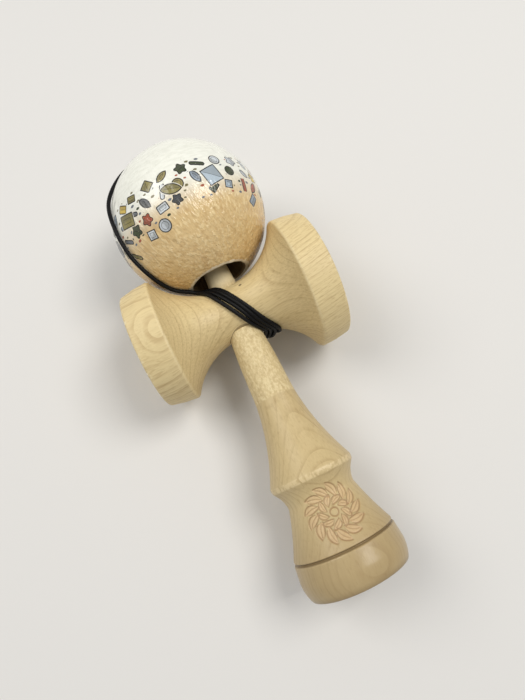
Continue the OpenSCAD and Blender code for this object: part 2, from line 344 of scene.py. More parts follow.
def turned(outline: np.ndarray, a: np.ndarray, axis: int) -> np.ndarray:
    """Surface of revolution about X or Y of the handle frame.

    Each outline point (radius, distance along the axis) becomes a ring of points at the given angles.

    Args:
        outline: radius and distance along the axis in mm, shape (rows, 2).
        a: angles of a ring's points.
        axis: 0 turns about X, 1 about Y.

    Returns:
        Handle frame points in mm, shape (rows, points in a ring, 3).
    """
    radius, along = outline[:, :1], np.repeat(outline[:, 1:], len(a), axis=1)
    if axis == 0:
        return np.stack([along, radius * np.cos(a), radius * np.sin(a)], axis=2)
    return np.stack([radius * np.sin(a), along, radius * np.cos(a)], axis=2)


# Shader building


@dataclass(frozen=True, eq=False)
class Wire:
    """Output of a shader node. Arithmetic on it adds nodes to the same tree."""

    desk: NodeDesk
    socket: bpy.types.NodeSocket

    def __add__(self, other: Feed) -> Wire:
        """Sum with another value."""
        return self.desk.math("ADD", self, other)

    def __sub__(self, other: Feed) -> Wire:
        """Difference from another value."""
        return self.desk.math("SUBTRACT", self, other)

    def __mul__(self, other: Feed) -> Wire:
        """Product with another value."""
        return self.desk.math("MULTIPLY", self, other)

    def __truediv__(self, other: Feed) -> Wire:
        """Share of another value."""
        return self.desk.math("DIVIDE", self, other)

    def __rtruediv__(self, other: Feed) -> Wire:
        """A number divided by this value."""
        return self.desk.math("DIVIDE", other, self)

    def __mod__(self, other: Feed) -> Wire:
        """Remainder, never negative."""
        return self.desk.math("FLOORED_MODULO", self, other)

    def __abs__(self) -> Wire:
        """Value without its sign."""
        return self.desk.math("ABSOLUTE", self)

    def __gt__(self, other: Feed) -> Wire:
        """1 where this is above another value, else 0."""
        return self.desk.math("GREATER_THAN", self, other)

    def __lt__(self, other: Feed) -> Wire:
        """1 where this is below another value, else 0."""
        return self.desk.math("LESS_THAN", self, other)

    def most(self, other: Feed) -> Wire:
        """Higher of two values."""
        return self.desk.math("MAXIMUM", self, other)

    def least(self, other: Feed) -> Wire:
        """Lower of two values."""
        return self.desk.math("MINIMUM", self, other)

    def floor(self) -> Wire:
        """Whole number below."""
        return self.desk.math("FLOOR", self)

    def fract(self) -> Wire:
        """What is left above the whole number."""
        return self.desk.math("FRACT", self)

    def step(self, low: float, high: float, start: float = 0.0, end: float = 1.0) -> Wire:
        """Smooth step from start below low to end above high."""
        node = self.desk.add("ShaderNodeMapRange", interpolation_type="SMOOTHSTEP")
        return self.desk.result(node, enumerate((self, low, high, start, end)))

    def fall(self, low: float, high: float, start: float = 1.0) -> Wire:
        """Smooth step from start below low down to 0 above high."""
        return self.step(low, high, start, 0.0)


class NodeDesk:
    """Adds shader nodes to a tree and joins them in short calls."""

    def __init__(self, tree: bpy.types.NodeTree) -> None:
        """Keeps the tree that is worked on."""
        self.tree = tree

    def add(self, kind: str, **settings: object) -> bpy.types.Node:
        """Adds a node.

        Args:
            kind: the node's type.
            settings: values of its properties.

        Returns:
            The node.
        """
        node = self.tree.nodes.new(kind)
        for key, value in settings.items():
            setattr(node, key, value)
        return node

    def feed(self, socket: bpy.types.NodeSocket, value: Feed) -> None:
        """Joins a wire to a socket, or sets the socket's own value.

        Args:
            socket: a node's input.
            value: a wire, a number or a tuple.
        """
        if isinstance(value, Wire):
            self.tree.links.new(value.socket, socket)
        elif isinstance(value, tuple) and len(value) != len(socket.default_value):
            socket.default_value = (*value, 1.0)
        else:
            socket.default_value = value

    def result(self, node: bpy.types.Node, values: Iterable[tuple[int | str, Feed]],
               output: int | str = 0) -> Wire:
        """Feeds a node and gives one of its outputs.

        Args:
            node: the node.
            values: pairs of an input's number or name and its value.
            output: number or name of the output.

        Returns:
            The output's wire.
        """
        for key, value in values:
            self.feed(node.inputs[key], value)
        return Wire(self, node.outputs[output])

    def math(self, operation: str, *values: Feed) -> Wire:
        """Result of a Math node, or of a Vector Math node if a value is a vector.

        Args:
            operation: the node's operation.
            values: its inputs in order.

        Returns:
            The result's wire.
        """
        vector = any(isinstance(v, Wire) and v.socket.type == "VECTOR" for v in values)
        node = self.add("ShaderNodeVectorMath" if vector else "ShaderNodeMath", operation=operation)
        return self.result(node, enumerate(values))

    def length(self, vector: Wire) -> Wire:
        """Length of a vector."""
        return self.result(self.add("ShaderNodeVectorMath", operation="LENGTH"), [(0, vector)], "Value")

    def split(self, vector: Wire) -> tuple[Wire, ...]:
        """X, Y and Z of a vector."""
        node = self.result(self.add("ShaderNodeSeparateXYZ"), [(0, vector)]).socket.node
        return tuple(Wire(self, output) for output in node.outputs)

    def join(self, x: Feed, y: Feed, z: Feed = 0.0) -> Wire:
        """Vector from X, Y and Z."""
        return self.result(self.add("ShaderNodeCombineXYZ"), enumerate((x, y, z)))

    def flat(self, x: Feed, y: Feed) -> Wire:
        """Length of a flat vector."""
        return self.length(self.join(x, y))

    def polar(self, at: Wire) -> Wire:
        """Angle of a place from the Y axis, in degrees."""
        return self.math("ARCCOSINE", self.split(at)[1] / self.length(at)) * (180 / math.pi)

    def noise(self, at: Wire, scale: Feed, detail: float = 2.0, rough: float = 0.5) -> Wire:
        """Noise value from 0 to 1."""
        values = {"Vector": at, "Scale": scale, "Detail": detail, "Roughness": rough}
        return self.result(self.add("ShaderNodeTexNoise", noise_dimensions="3D"), values.items())

    def cells(self, at: Wire, scale: Feed) -> Wire:
        """Distance to the nearest of scattered points."""
        return self.result(self.add("ShaderNodeTexVoronoi", feature="F1"), [("Vector", at), ("Scale", scale)])

    def chance(self, numbers: Wire) -> tuple[Wire, ...]:
        """Three even chances from 0 to 1 for a vector of whole numbers.

        Args:
            numbers: the vector.

        Returns:
            The three chances.
        """
        drawn = self.add("ShaderNodeTexWhiteNoise", noise_dimensions="3D")
        colour = self.result(drawn, [("Vector", numbers)], "Color")
        parts = self.result(self.add("ShaderNodeSeparateColor"), [(0, colour)]).socket.node
        return tuple(Wire(self, output) for output in parts.outputs)

    def mix(self, factor: Feed, a: Feed, b: Feed) -> Wire:
        """Colour between two colours."""
        node = self.add("ShaderNodeMix", data_type="RGBA", blend_type="MIX", clamp_factor=True)
        return self.result(node, [(0, factor), (6, a), (7, b)], 2)

    def pick(self, test: Feed, no: Feed, yes: Feed) -> Wire:
        """Value between no and yes by a test from 0 to 1."""
        node = self.add("ShaderNodeMix", data_type="FLOAT", clamp_factor=True)
        return self.result(node, [(0, test), (2, no), (3, yes)])

    def coats(self, colour: Feed, *coats: tuple[Feed, Feed]) -> Wire:
        """Colour under coats of other colours.

        Args:
            colour: colour of the ground.
            coats: cover from 0 to 1 and colour of each coat, the lowest first.

        Returns:
            The colour seen.
        """
        for cover, coat in coats:
            colour = self.mix(cover, colour, coat)
        return colour

    def palette(self, value: Wire, colours: tuple[Rgba, ...]) -> Wire:
        """One of several colours.

        Args:
            value: chooses the colour, from 0 to 1.
            colours: the colours, each with an even share.

        Returns:
            The colour.
        """
        node = self.add("ShaderNodeValToRGB")
        ramp = node.color_ramp
        ramp.interpolation = "CONSTANT"
        while len(ramp.elements) < len(colours):
            ramp.elements.new(0.5)
        for number, (element, colour) in enumerate(zip(ramp.elements, colours)):
            element.position = number / len(colours)
            element.color = colour
        return self.result(node, [(0, value)])

    def bumps(self, *heights: tuple[Wire, float, float]) -> Wire:
        """Normal tilted by heights, one after another.

        Args:
            heights: height, strength and distance in metres of each.

        Returns:
            The normal.
        """
        below: list[tuple[str, Wire]] = []
        for height, strength, distance in heights:
            values = [("Height", height), ("Strength", strength), ("Distance", distance), *below]
            below = [("Normal", self.result(self.add("ShaderNodeBump"), values))]
        return below[0][1]

    def stored(self, name: str) -> Wire:
        """Value that the mesh stores for its points under a name."""
        node = self.add("ShaderNodeAttribute", attribute_type="GEOMETRY", attribute_name=name)
        return Wire(self, node.outputs["Fac"])

    def own_frame(self, place: tuple[Vector, Euler]) -> Wire:
        """Object coordinates brought into a piece's own frame, in mm.

        Args:
            place: location and rotation of that frame, from Lay.mapping.

        Returns:
            The place's wire.
        """
        source = Wire(self, self.add("ShaderNodeTexCoord").outputs["Object"])
        values = {"Vector": source, "Location": place[0], "Rotation": place[1], "Scale": (0.001, 0.001, 0.001)}
        return self.result(self.add("ShaderNodeMapping", vector_type="TEXTURE"), values.items())

    def place_group(self, group: bpy.types.NodeTree, **values: Feed) -> dict[str, Wire]:
        """Node of a shared group.

        Args:
            group: the group.
            values: its inputs by name, with spaces as underscores.

        Returns:
            Its outputs by name.
        """
        node = self.add("ShaderNodeGroup", node_tree=group)
        for key, value in values.items():
            self.feed(node.inputs[key.replace("_", " ")], value)
        return {output.name: Wire(self, output) for output in node.outputs}


class GroupDesk(NodeDesk):
    """Builds a shared shader node group with named inputs and outputs."""

    KINDS = {"colour": "NodeSocketColor", "value": "NodeSocketFloat", "vector": "NodeSocketVector"}

    def __init__(self, name: str, inputs: dict[str, str], outputs: dict[str, str]) -> None:
        """Makes the group's tree and its sockets.

        Args:
            name: the group's name.
            inputs: kinds of its inputs by name.
            outputs: kinds of its outputs by name.
        """
        super().__init__(bpy.data.node_groups.new(name, "ShaderNodeTree"))
        for sockets, way in ((inputs, "INPUT"), (outputs, "OUTPUT")):
            for key, kind in sockets.items():
                self.tree.interface.new_socket(key, in_out=way, socket_type=self.KINDS[kind])
        self.into = self.add("NodeGroupInput").outputs
        self.out = self.add("NodeGroupOutput").inputs

    def read(self, name: str) -> Wire:
        """One of the group's inputs."""
        return Wire(self, self.into[name])

    def write(self, **values: Wire) -> bpy.types.NodeTree:
        """Feeds the group's outputs.

        Args:
            values: the outputs by name.

        Returns:
            The finished group.
        """
        for key, value in values.items():
            self.feed(self.out[key], value)
        return self.tree


def wood_grain_group() -> bpy.types.NodeTree:
    """Grain of plain-sawn maple, with the grain along Y and the growth rings stacked along Z, in mm.

    The rings are the height Z plus a little of X squared, swayed by slow noise, cut into uneven steps.
    Each step ends in a thin dark line of its own strength. Long thin noise gives the fibres, shorter
    noise the flecks.

    Returns:
        The group, with outputs Color, Lines and Height.
    """
    g = GroupDesk(
        "wood grain",
        {"Vector": "vector", "Pale": "colour", "Dark": "colour", "Spacing": "value", "Wander": "value",
         "Bow": "value", "Lines": "value", "Fibres": "value", "Flecks": "value", "Mottle": "value"},
        {"Color": "colour", "Lines": "value", "Height": "value"},
    )
    at = g.read("Vector")
    x, _, z = g.split(at)
    sway = g.noise(at * (0.035, 0.012, 0.035), 1.0) - 0.5
    level = sway * g.read("Wander") + (x * x * g.read("Bow") + z)
    uneven = g.noise(g.join(0.0, 0.0, level), 0.21, 1.0)
    phase = level / g.read("Spacing") + uneven * 2.2
    rise = phase.fract()
    strength = g.chance(g.join(phase.floor(), 3.0))[0] * 0.75 + 0.25
    broken = g.noise(at * (0.22, 0.05, 0.22), 1.0).step(0.3, 0.62, 0.35, 1.0)
    lines = rise.step(0.62, 0.96) * rise.fall(0.965, 1.0) * strength * broken
    fibre = g.noise(at * (1.5, 0.05, 1.5), 1.0, 3.0, 0.65) - 0.5
    fleck = g.noise(at * (1.7, 0.3, 1.7), 1.0, 1.0).step(0.56, 0.72)
    mottle = g.noise(at * (0.07, 0.03, 0.07), 1.0) - 0.5
    tone = lines * g.read("Lines") + 0.3
    for part, amount in ((fibre, "Fibres"), (fleck, "Flecks"), (mottle, "Mottle")):
        tone = tone + part * g.read(amount)
    return g.write(Color=g.mix(tone, g.read("Pale"), g.read("Dark")), Lines=lines,
                   Height=fibre * 0.8 - fleck * 0.6 - lines * 0.4)


def handling_group() -> bpy.types.NodeTree:
    """Marks of play: shallow round dents from knocks and a fine unevenness, in mm.

    Scattered points dent the surface where their own noise lets them. Finer noise gives the rest.

    Returns:
        The group, with outputs Dents (a height) and Scuffs (a mask).
    """
    g = GroupDesk("marks of play", {"Vector": "vector", "Dent Size": "value", "Fine Size": "value"},
                  {"Dents": "value", "Scuffs": "value"})
    at, rate = g.read("Vector"), 1.0 / g.read("Dent Size")
    pit = g.cells(at, rate).step(0.0, 0.55, -1.0, 0.0)
    where = g.noise(at, rate * 0.45, 1.0).step(0.48, 0.62)
    fine = g.noise(at, 1.0 / g.read("Fine Size"), 3.0, 0.6) - 0.5
    return g.write(Dents=pit * where + fine, Scuffs=g.noise(at, rate * 0.8, 4.0, 0.7).step(0.5, 0.68))


@dataclass(frozen=True)
class MotifCells:
    """Staggered rows of cells round the ball, with angles in degrees from its far pole.

    The fields are the cells in a row, the angle of the first row, the rows' pace, the stagger in cells, the
    middle and the reach of the rows that are used, the number of the chance draws, and how far a shape may
    stray in mm.
    """

    count: float
    first: float
    pace: float
    stagger: float
    rows: tuple[float, float]
    draw: float
    stray: tuple[float, float]


@dataclass(frozen=True)
class MotifSet:
    """Set of shapes that stand one in a cell.

    The fields are the cells, the least size and what chance adds to it in mm, the limits of the chance
    between the kinds of shape, the row after which shapes thin out, and the share of empty cells before
    and after it.
    """

    cells: MotifCells
    least: float
    more: float
    limits: tuple[float, ...]
    thin_from: float
    empty: tuple[float, float]


@dataclass(frozen=True, eq=False)
class CellPlace:
    """Row and column of a cell, its three chances, and the place in it in mm."""

    row: Wire
    column: Wire
    chances: tuple[Wire, ...]
    x: Wire
    y: Wire


class MotifDesk(GroupDesk):
    """Builds the band of small outlined shapes round the ball, in the ball's frame with its far pole along Y.

    In each cell one of six plain shapes (disc, rounded tile, leaf, star, diamond, stick) stands at a chance
    place, turn and size. A shape's signed distance gives its fill, its dark outline and a fine inner line.
    Small seeds fill the room between.
    """

    BALL_R = 30.0
    SMALL = MotifSet(MotifCells(28.0, 79.0, 9.6, 0.37, (1.5, 1.6), 1.0, (1.4, 0.6)), 2.05, 0.8,
                     (0.14, 0.34, 0.58, 0.74, 0.86), 2.5, (0.02, 0.62))
    LARGE = MotifSet(MotifCells(11.0, 84.0, 19.0, 0.5, (0.0, 0.1), 11.0, (5.5, 1.6)), 3.8, 0.8,
                     (0.1, 0.32, 0.62, 0.8, 2.0), 5.0, (0.3, 1.0))
    SEEDS = MotifCells(58.0, 78.0, 4.0, 0.31, (3.5, 4.2), 7.0, (1.0, 0.7))
    FILLS = (srgb(184, 198, 208), srgb(146, 136, 84), srgb(182, 98, 72), srgb(122, 126, 130),
             srgb(216, 186, 86), srgb(72, 80, 56), srgb(214, 220, 222), srgb(160, 148, 98),
             srgb(150, 162, 174), srgb(84, 86, 88), srgb(196, 202, 206))
    SEED_FILLS = (srgb(62, 70, 50), srgb(170, 96, 70), srgb(120, 112, 78), srgb(110, 116, 122))
    SHADED = srgb(90, 88, 78)
    INK = srgb(38, 38, 36)
    NOWHERE = 5.0

    def __init__(self) -> None:
        """Makes the group and unrolls the ball: angle from the pole, turn round it and girth there."""
        super().__init__("printed shapes", {"Vector": "vector"}, {"Color": "colour", "Mask": "value"})
        at = self.read("Vector")
        x, _, z = self.split(at)
        self.angle = self.polar(at)
        self.turn = self.math("ARCTAN2", z, x * -1.0) / FULL_TURN
        self.girth = self.math("SINE", self.angle * (math.pi / 180)) * (FULL_TURN * self.BALL_R)

    def cell(self, c: MotifCells) -> CellPlace:
        """Cells and the place in them.

        Args:
            c: the cells.

        Returns:
            The cell, with its chance stray taken from the place in it.
        """
        row_at = (self.angle - c.first) / c.pace
        row = row_at.floor()
        round_at = row * c.stagger + self.turn * c.count
        column = round_at.floor() % c.count
        chances = self.chance(self.join(column, row, c.draw))
        x = (round_at.fract() - 0.5) * self.girth * (1.0 / c.count)
        y = (row_at.fract() - 0.5) * (c.pace * math.radians(self.BALL_R))
        x, y = (v - (chance - 0.5) * stray for v, chance, stray in zip((x, y), chances, c.stray))
        return CellPlace(row, column, chances, x, y)

    def used(self, c: MotifCells, row: Wire) -> Wire:
        """1 in the rows that a set of cells uses, else 0."""
        return self.math("COMPARE", row, *c.rows)

    def outline(self, s: MotifSet, kind: Wire, size: Wire, x: Wire, y: Wire) -> Wire:
        """Signed distance from the edge of a cell's shape.

        Args:
            s: the set of shapes.
            kind: chance that chooses the shape.
            size: the shape's size in mm.
            x: place along the shape.
            y: place across the shape.

        Returns:
            The distance in mm, negative inside.
        """
        away, ax, ay = self.flat(x, y), abs(x), abs(y)
        petals = self.math("COSINE", self.math("ARCTAN2", y, x) * 5.0)
        over_x, over_y = ax - size * 0.72, ay - size * 0.45
        tile = self.flat(over_x.most(0.0), over_y.most(0.0)) + over_x.most(over_y).least(0.0) - 0.28
        leaf = self.flat(x, size * 0.75 + ay) - size * 1.22
        star = away - size * 0.74 - petals * size * 0.14
        diamond = ax * 0.72 + ay * 0.7 - size * 0.68
        stick = self.flat((ax - size * 0.8).most(0.0), y) - size * 0.3
        edge = away - size * 0.82
        for limit, shape in zip(s.limits, (tile, leaf, star, diamond, stick)):
            edge = self.pick(kind > limit, edge, shape)
        return edge

    def shapes(self, s: MotifSet) -> tuple[Wire, Wire, Wire]:
        """One set of shapes.

        Args:
            s: the set.

        Returns:
            Colour, mask and distance from the edge.
        """
        c = self.cell(s.cells)
        _, look, way = c.chances
        grown, kind, tint = self.chance(self.join(c.column, c.row, s.cells.draw + 1.0))
        stay = self.chance(self.join(c.column, c.row, s.cells.draw + 2.0))[0]
        co, si = self.math("COSINE", way * FULL_TURN), self.math("SINE", way * FULL_TURN)
        x, y = c.x * co + c.y * si, c.y * co - c.x * si
        size = grown * s.more + s.least
        shown = (stay > self.pick(c.row > s.thin_from, *s.empty)) * self.used(s.cells, c.row)
        edge = self.pick(shown, self.NOWHERE, self.outline(s, kind, size, x, y))
        fill, rim = edge.fall(-0.05, 0.05), abs(edge).fall(0.13, 0.24)
        inner = abs(size * 0.33 + edge).fall(0.05, 0.13, 0.75)
        vein = abs(y).fall(0.05, 0.13, 0.75) * edge.fall(-0.75, -0.55)
        detail = self.pick(look > 0.5, inner, vein) * fill
        colour = self.coats(self.palette(tint, self.FILLS), (y.fall(-0.12, 0.12, 0.34), self.SHADED),
                            (rim.most(detail), self.INK))
        return colour, fill.most(rim), edge

    def build(self) -> bpy.types.NodeTree:
        """Joins small shapes, large shapes and seeds.

        Returns:
            The group, with outputs Color and Mask.
        """
        small, small_mask, small_edge = self.shapes(self.SMALL)
        large, large_mask, large_edge = self.shapes(self.LARGE)
        main = (small_mask * large_edge.step(0.35, 0.45)).most(large_mask)
        c = self.cell(self.SEEDS)
        tint, grown, stay = c.chances
        free = small_edge.least(large_edge).step(0.55, 0.7) * (stay > 0.4) * self.used(self.SEEDS, c.row)
        seeds = (self.flat(c.x, c.y * 1.7) - (grown * 0.35 + 0.45)).fall(-0.05, 0.06) * free
        colour = self.mix(main, self.palette(tint, self.SEED_FILLS), self.mix(large_mask, small, large))
        return self.write(Color=colour, Mask=main.most(seeds))


class Groups:
    """Shared shader node groups, built once."""

    def __init__(self) -> None:
        """Builds every group."""
        self.grain = wood_grain_group()
        self.handling = handling_group()
        self.motifs = MotifDesk().build()


class MaterialDesk(NodeDesk):
    """Node desk of a new material, with its Principled shader."""

    def __init__(self, name: str) -> None:
        """Makes the material and finds its shader.

        Args:
            name: the material's name.
        """
        self.material = bpy.data.materials.new(name)
        self.material.use_nodes = True
        super().__init__(self.material.node_tree)
        self.shader = next(n for n in self.tree.nodes if n.type == "BSDF_PRINCIPLED")

    def surface(self, **values: Feed) -> bpy.types.Material:
        """Feeds the shader.

        Args:
            values: its sockets by name, with spaces as underscores.

        Returns:
            The finished material.
        """
        for key, value in values.items():
            self.feed(self.shader.inputs[key.replace("_", " ")], value)
        return self.material


@dataclass(frozen=True)
class GrainLook:
    """Values of the grain for one turned piece."""

    pale: Rgba
    dark: Rgba
    spacing: float
    wander: float
    bow: float
    lines: float
    fibres: float
    flecks: float
    mottle: float

    def place(self, desk: NodeDesk, groups: Groups, at: Wire) -> dict[str, Wire]:
        """Grain of these values in a material, reading the piece's own frame."""
        values = {key.capitalize(): value for key, value in vars(self).items()}
        return desk.place_group(groups.grain, Vector=at, **values)


@dataclass(frozen=True)
class HandleFinish:
    """Satin maple of the handle: worn and speckled above, smooth below, with a carved rosette on the skirt."""

    grain: GrainLook = GrainLook(srgb(216, 195, 146), srgb(166, 138, 92), 1.9, 4.4, 0.004, 0.34, 0.4, 0.16, 0.4)
    grain_turn: Triple = (0, 12, 0)
    worn_end: float = -36.4
    ring_at: tuple[float, float] = (-66.9, -65.0)
    groove_at: tuple[float, float] = (-90.9, -89.5)

    def material(self, groups: Groups) -> bpy.types.Material:
        """Builds the handle's material.

        Args:
            groups: shared node groups.

        Returns:
            The material.
        """
        m = MaterialDesk("satin handle maple")
        at = m.own_frame(LAY.mapping())
        y = m.split(at)[1]
        grain = self.grain.place(m, groups, m.own_frame(LAY.mapping(turn=self.grain_turn)))
        play = m.place_group(groups.handling, Vector=at, Dent_Size=3.2, Fine_Size=1.1)
        sway = y + (m.noise(at, 0.5) - 0.5) * 0.9
        worn = sway.step(self.worn_end - 0.4, self.worn_end + 0.4) * y.fall(8.0, 14.0)
        speck = m.noise(at * (1.0, 0.55, 1.0), 1.15, 3.0, 0.65)
        chip = m.noise(at * (1.0, 0.6, 1.0), 0.9).step(0.4, 0.55, 0.1, 0.8)
        low, high = self.ring_at
        ring = y.step(low - 0.2, low + 0.2) * y.fall(high - 0.2, high + 0.3)
        low, high = self.groove_at
        groove = y.step(low, low + 0.4) * y.fall(high - 0.4, high)
        handled = y.step(self.worn_end - 26.0, self.worn_end - 2.0, 0.0, 0.3)
        colour = m.coats(
            grain["Color"],
            # Worn wood of the shaft, with its pale and dark specks
            (worn * 0.4, srgb(226, 206, 156)),
            (speck.step(0.44, 0.62) * worn * 0.5, srgb(238, 221, 176)),
            (speck.fall(0.30, 0.44) * worn * 0.4, srgb(176, 146, 98)),
            # Chipped ring edge, dark groove, and painted shade that darkens the wood towards the base
            (ring * chip, srgb(224, 202, 156)),
            (groove * 0.72, srgb(92, 70, 42)),
            (y.fall(-98.0, -70.0, 0.5), srgb(150, 126, 90)),
            # Rosette's leaves and cuts
            (m.stored("leaf") * 0.4, srgb(222, 186, 142)),
            (m.stored("cut") * 0.6, srgb(146, 106, 70)),
            # Painted shade along the base cup's bottom edge, and handled scuffs on the flare
            (y.fall(-102.8, -100.2, 0.4), srgb(112, 90, 60)),
            (play["Scuffs"] * handled, srgb(170, 143, 98)),
            # Painted light: the spike between the cross piece and the ball is made paler, as if lit
            (y.step(9.0, 12.0, 0.0, 0.5), srgb(252, 238, 200)),
        )
        rough = worn * 0.12 + y.step(-92.0, -88.0, 0.3, 0.42) + grain["Lines"] * 0.08
        normal = m.bumps((grain["Height"], 0.25, 0.0001), (speck * worn, 0.5, 0.00016),
                         (play["Dents"], 0.18, 0.00012))
        return m.surface(Base_Color=colour, Roughness=rough, Normal=normal, Specular_IOR_Level=0.42)


@dataclass(frozen=True)
class CrossFinish:
    """Pale satin maple of the cross piece, with flat-sawn rings that open into arcs on the flanks."""

    grain: GrainLook = GrainLook(srgb(234, 213, 160), srgb(168, 138, 90), 2.4, 3.2, 0.0022, 0.32, 0.6, 0.2, 0.4)
    fine: GrainLook = GrainLook(srgb(234, 213, 160), srgb(168, 138, 90), 0.8, 2.6, 0.0022, 0.4, 0.4, 0.1, 0.3)
    grain_turn: Triple = (16, 0, -90)
    edge_at: float = 25.3
    rim_at: tuple[float, float] = (35.2, 36.2)
    mark_at: Triple = (5.65, 5.9, 8.64)
    eye_at: Triple = (-25.7, -2.3, 23.5)
    eye_size: Triple = (11.5, 16.5, 15.0)
    eye_rise: float = 4.4
    spike_bore: float = 5.5
    shaft_bore: float = 6.45

    def rings(self, m: MaterialDesk, at: Wire) -> Wire:
        """Frame of the grain, with an eye on the small cup's band and leaning rings towards the big cup.

        Args:
            m: desk of the material.
            at: handle frame in mm.

        Returns:
            The grain's frame in mm.
        """
        x, y, _ = m.split(at)
        ragged = m.noise(at, 0.1, 1.0) * 0.5 + 0.75
        eye = (m.length((at - self.eye_at) / self.eye_size) * ragged).fall(0.0, 1.0, self.eye_rise)
        on_flank = x.step(6.0, 26.0, 0.0, 0.6)
        on_band = x.step(self.edge_at - 0.1, self.edge_at + 0.05, 0.0, 0.8)
        lift = m.join(0.0, 0.0, eye + y * (on_flank + on_band))
        return m.own_frame(LAY.mapping(turn=self.grain_turn)) + lift

    def material(self, groups: Groups) -> bpy.types.Material:
        """Builds the cross piece's material.

        Args:
            groups: shared node groups.

        Returns:
            The material.
        """
        m = MaterialDesk("satin cross maple")
        at = m.own_frame(LAY.mapping())
        x, y, z = m.split(at)
        out, along = abs(x), self.rings(m, at)
        grain = self.grain.place(m, groups, along)
        play = m.place_group(groups.handling, Vector=at, Dent_Size=3.6, Fine_Size=1.2)
        band = out.step(self.edge_at - 0.1, self.edge_at + 0.3)
        aside = abs(y).step(5.0, 14.0, 0.25, 1.0).most(x.step(8.0, 16.0, 0.0, 0.9))
        close = self.fine.place(m, groups, along)["Lines"] * m.noise(at, 0.06, 1.0).step(0.36, 0.6, 0.1, 0.36)
        short = m.noise(along * (1.6, 0.16, 1.6), 1.0, 2.0, 0.6).step(0.52, 0.68)
        edge = abs(out - (self.edge_at + 0.15)).fall(0.1, 0.7) * m.noise(at, 0.8).step(0.3, 0.6, 0.3, 0.9)
        nicks = out.step(*self.rim_at) * m.noise(at, 0.55, 3.0, 0.6).step(0.52, 0.66)
        fit = m.flat(x, z) - m.pick(y < 0.0, self.spike_bore, self.shaft_bore)
        side = abs(y).step(7.0, 8.0)
        mark = m.length((at - self.mark_at) * (0.8, 1.0, 1.0))
        colour = m.coats(
            grain["Color"],
            # Close lines on the flanks, paler bands with short and ring lines
            (close * aside * (band * -0.75 + 1.0), srgb(160, 126, 78)),
            (band * 0.38, srgb(240, 220, 168)),
            (short * (band * 0.22 + 0.1) * aside, srgb(176, 142, 90)),
            (grain["Lines"] * (band * x.step(0.0, 10.0, 0.45, 0.3)), srgb(168, 132, 82)),
            # Rubbed edges, lighter from wear and from a painted highlight, and nicked rims
            (edge * 0.5, srgb(240, 222, 176)),
            (nicks * 0.5, srgb(252, 242, 212)),
            # Painted highlight on the countersink, dark joint round the handle, and one small dark mark
            (fit.fall(0.3, 0.7) * side * 0.55, srgb(236, 218, 172)),
            (fit.fall(0.02, 0.2) * side * 0.6, srgb(92, 66, 38)),
            (mark.fall(0.3, 0.65, 0.85), srgb(64, 40, 22)),
        )
        rough = grain["Lines"] * 0.1 + 0.43 + band * 0.08
        normal = m.bumps((grain["Height"], 0.25, 0.0001), (play["Dents"], 0.2, 0.00012))
        return m.surface(Base_Color=colour, Roughness=rough, Normal=normal, Specular_IOR_Level=0.4)


@dataclass(frozen=True)
class BallFinish:
    """Clear-coated wood near the hole, fading into cream paint towards the far pole, with a printed band."""

    grain: GrainLook = GrainLook(srgb(242, 214, 158), srgb(184, 144, 88), 1.7, 2.4, 0.004, 0.22, 0.6, 0.16, 0.4)
    grain_turn: Triple = (0, 80, 12)
    cream: Rgba = srgb(246, 246, 234)
    brushed_cream: Rgba = srgb(236, 236, 223)
    cream_fade: tuple[float, float] = (88.0, 114.0)
    lip_fade: tuple[float, float] = (155.9, 157.4)
    hole_rough: float = 0.6

    def material(self, groups: Groups, centre: Triple, lean: Triple, radius: float) -> bpy.types.Material:
        """Builds the ball's material.

        Args:
            groups: shared node groups.
            centre: the ball's middle in the handle frame, in mm.
            lean: turn of the ball in the handle frame, as XYZ angles in degrees.
            radius: the ball's radius in mm.

        Returns:
            The material.
        """
        m = MaterialDesk("coated ball wood")
        at = m.own_frame(LAY.mapping(centre=centre, turn=lean))
        along = m.own_frame(LAY.mapping(centre=centre, turn=self.grain_turn))
        grain = self.grain.place(m, groups, along)
        play = m.place_group(groups.handling, Vector=at, Dent_Size=4.6, Fine_Size=3.4)
        band = m.place_group(groups.motifs, Vector=at)
        polar, outside = m.polar(at), m.length(at).step(radius - 0.9, radius - 0.5)
        glint_dash = m.noise(along * (1.05, 0.085, 1.05), 1.0, 1.0).step(0.5, 0.66)
        shade = m.noise(along * (0.62, 0.06, 0.62), 1.0, 2.0, 0.55).step(0.48, 0.7, 0.0, 0.4)
        paint = (polar + (m.noise(at, 0.12, 3.0) - 0.5) * 4.0).fall(*self.cream_fade) * outside
        brushed = m.noise(at * (0.5, 1.6, 0.5), 0.6, 3.0).step(0.35, 0.7)
        kept = band["Mask"] * m.noise(at, 2.2, 3.0, 0.7).step(0.24, 0.34, 0.35, 1.0)
        lip = (polar + m.noise(at, 0.9) * 3.4).step(*self.lip_fade) * outside
        colour = m.coats(
            grain["Color"],
            # Painted glints as pale dashes along the grain, and darker streaks of the wood
            (glint_dash * 0.55, srgb(250, 226, 174)),
            (shade, srgb(192, 152, 96)),
            # Brushed paint, print, chipped lip, and painted shade that darkens the inside of the hole
            (paint, m.mix(brushed, self.cream, self.brushed_cream)),
            (kept * outside, band["Color"]),
            (lip * 0.8, srgb(236, 228, 208)),
            (outside.fall(0.0, 1.0, 0.85), srgb(66, 42, 22)),
        )
        rough = m.pick(outside, self.hole_rough, lip * 0.3 + 0.15 + play["Scuffs"] * 0.14)
        streak = m.noise(along * (0.75, 0.075, 0.75), 1.0, 2.0, 0.45)
        crease = m.cells(along * (0.09, 0.5, 0.5), 1.0).step(0.02, 0.16, -1.0, 0.0)
        crease = crease * m.noise(at, 0.11, 1.0).step(0.46, 0.56)
        bare = paint * -0.75 + 1.0
        normal = m.bumps((grain["Height"] * bare, 0.2, 0.0001), ((streak + glint_dash * 0.22) * bare, 0.7, 0.00055),
                         (play["Dents"] + crease * 0.9, 0.5, 0.0005))
        return m.surface(Base_Color=colour, Roughness=rough, Normal=normal, Specular_IOR_Level=0.55)


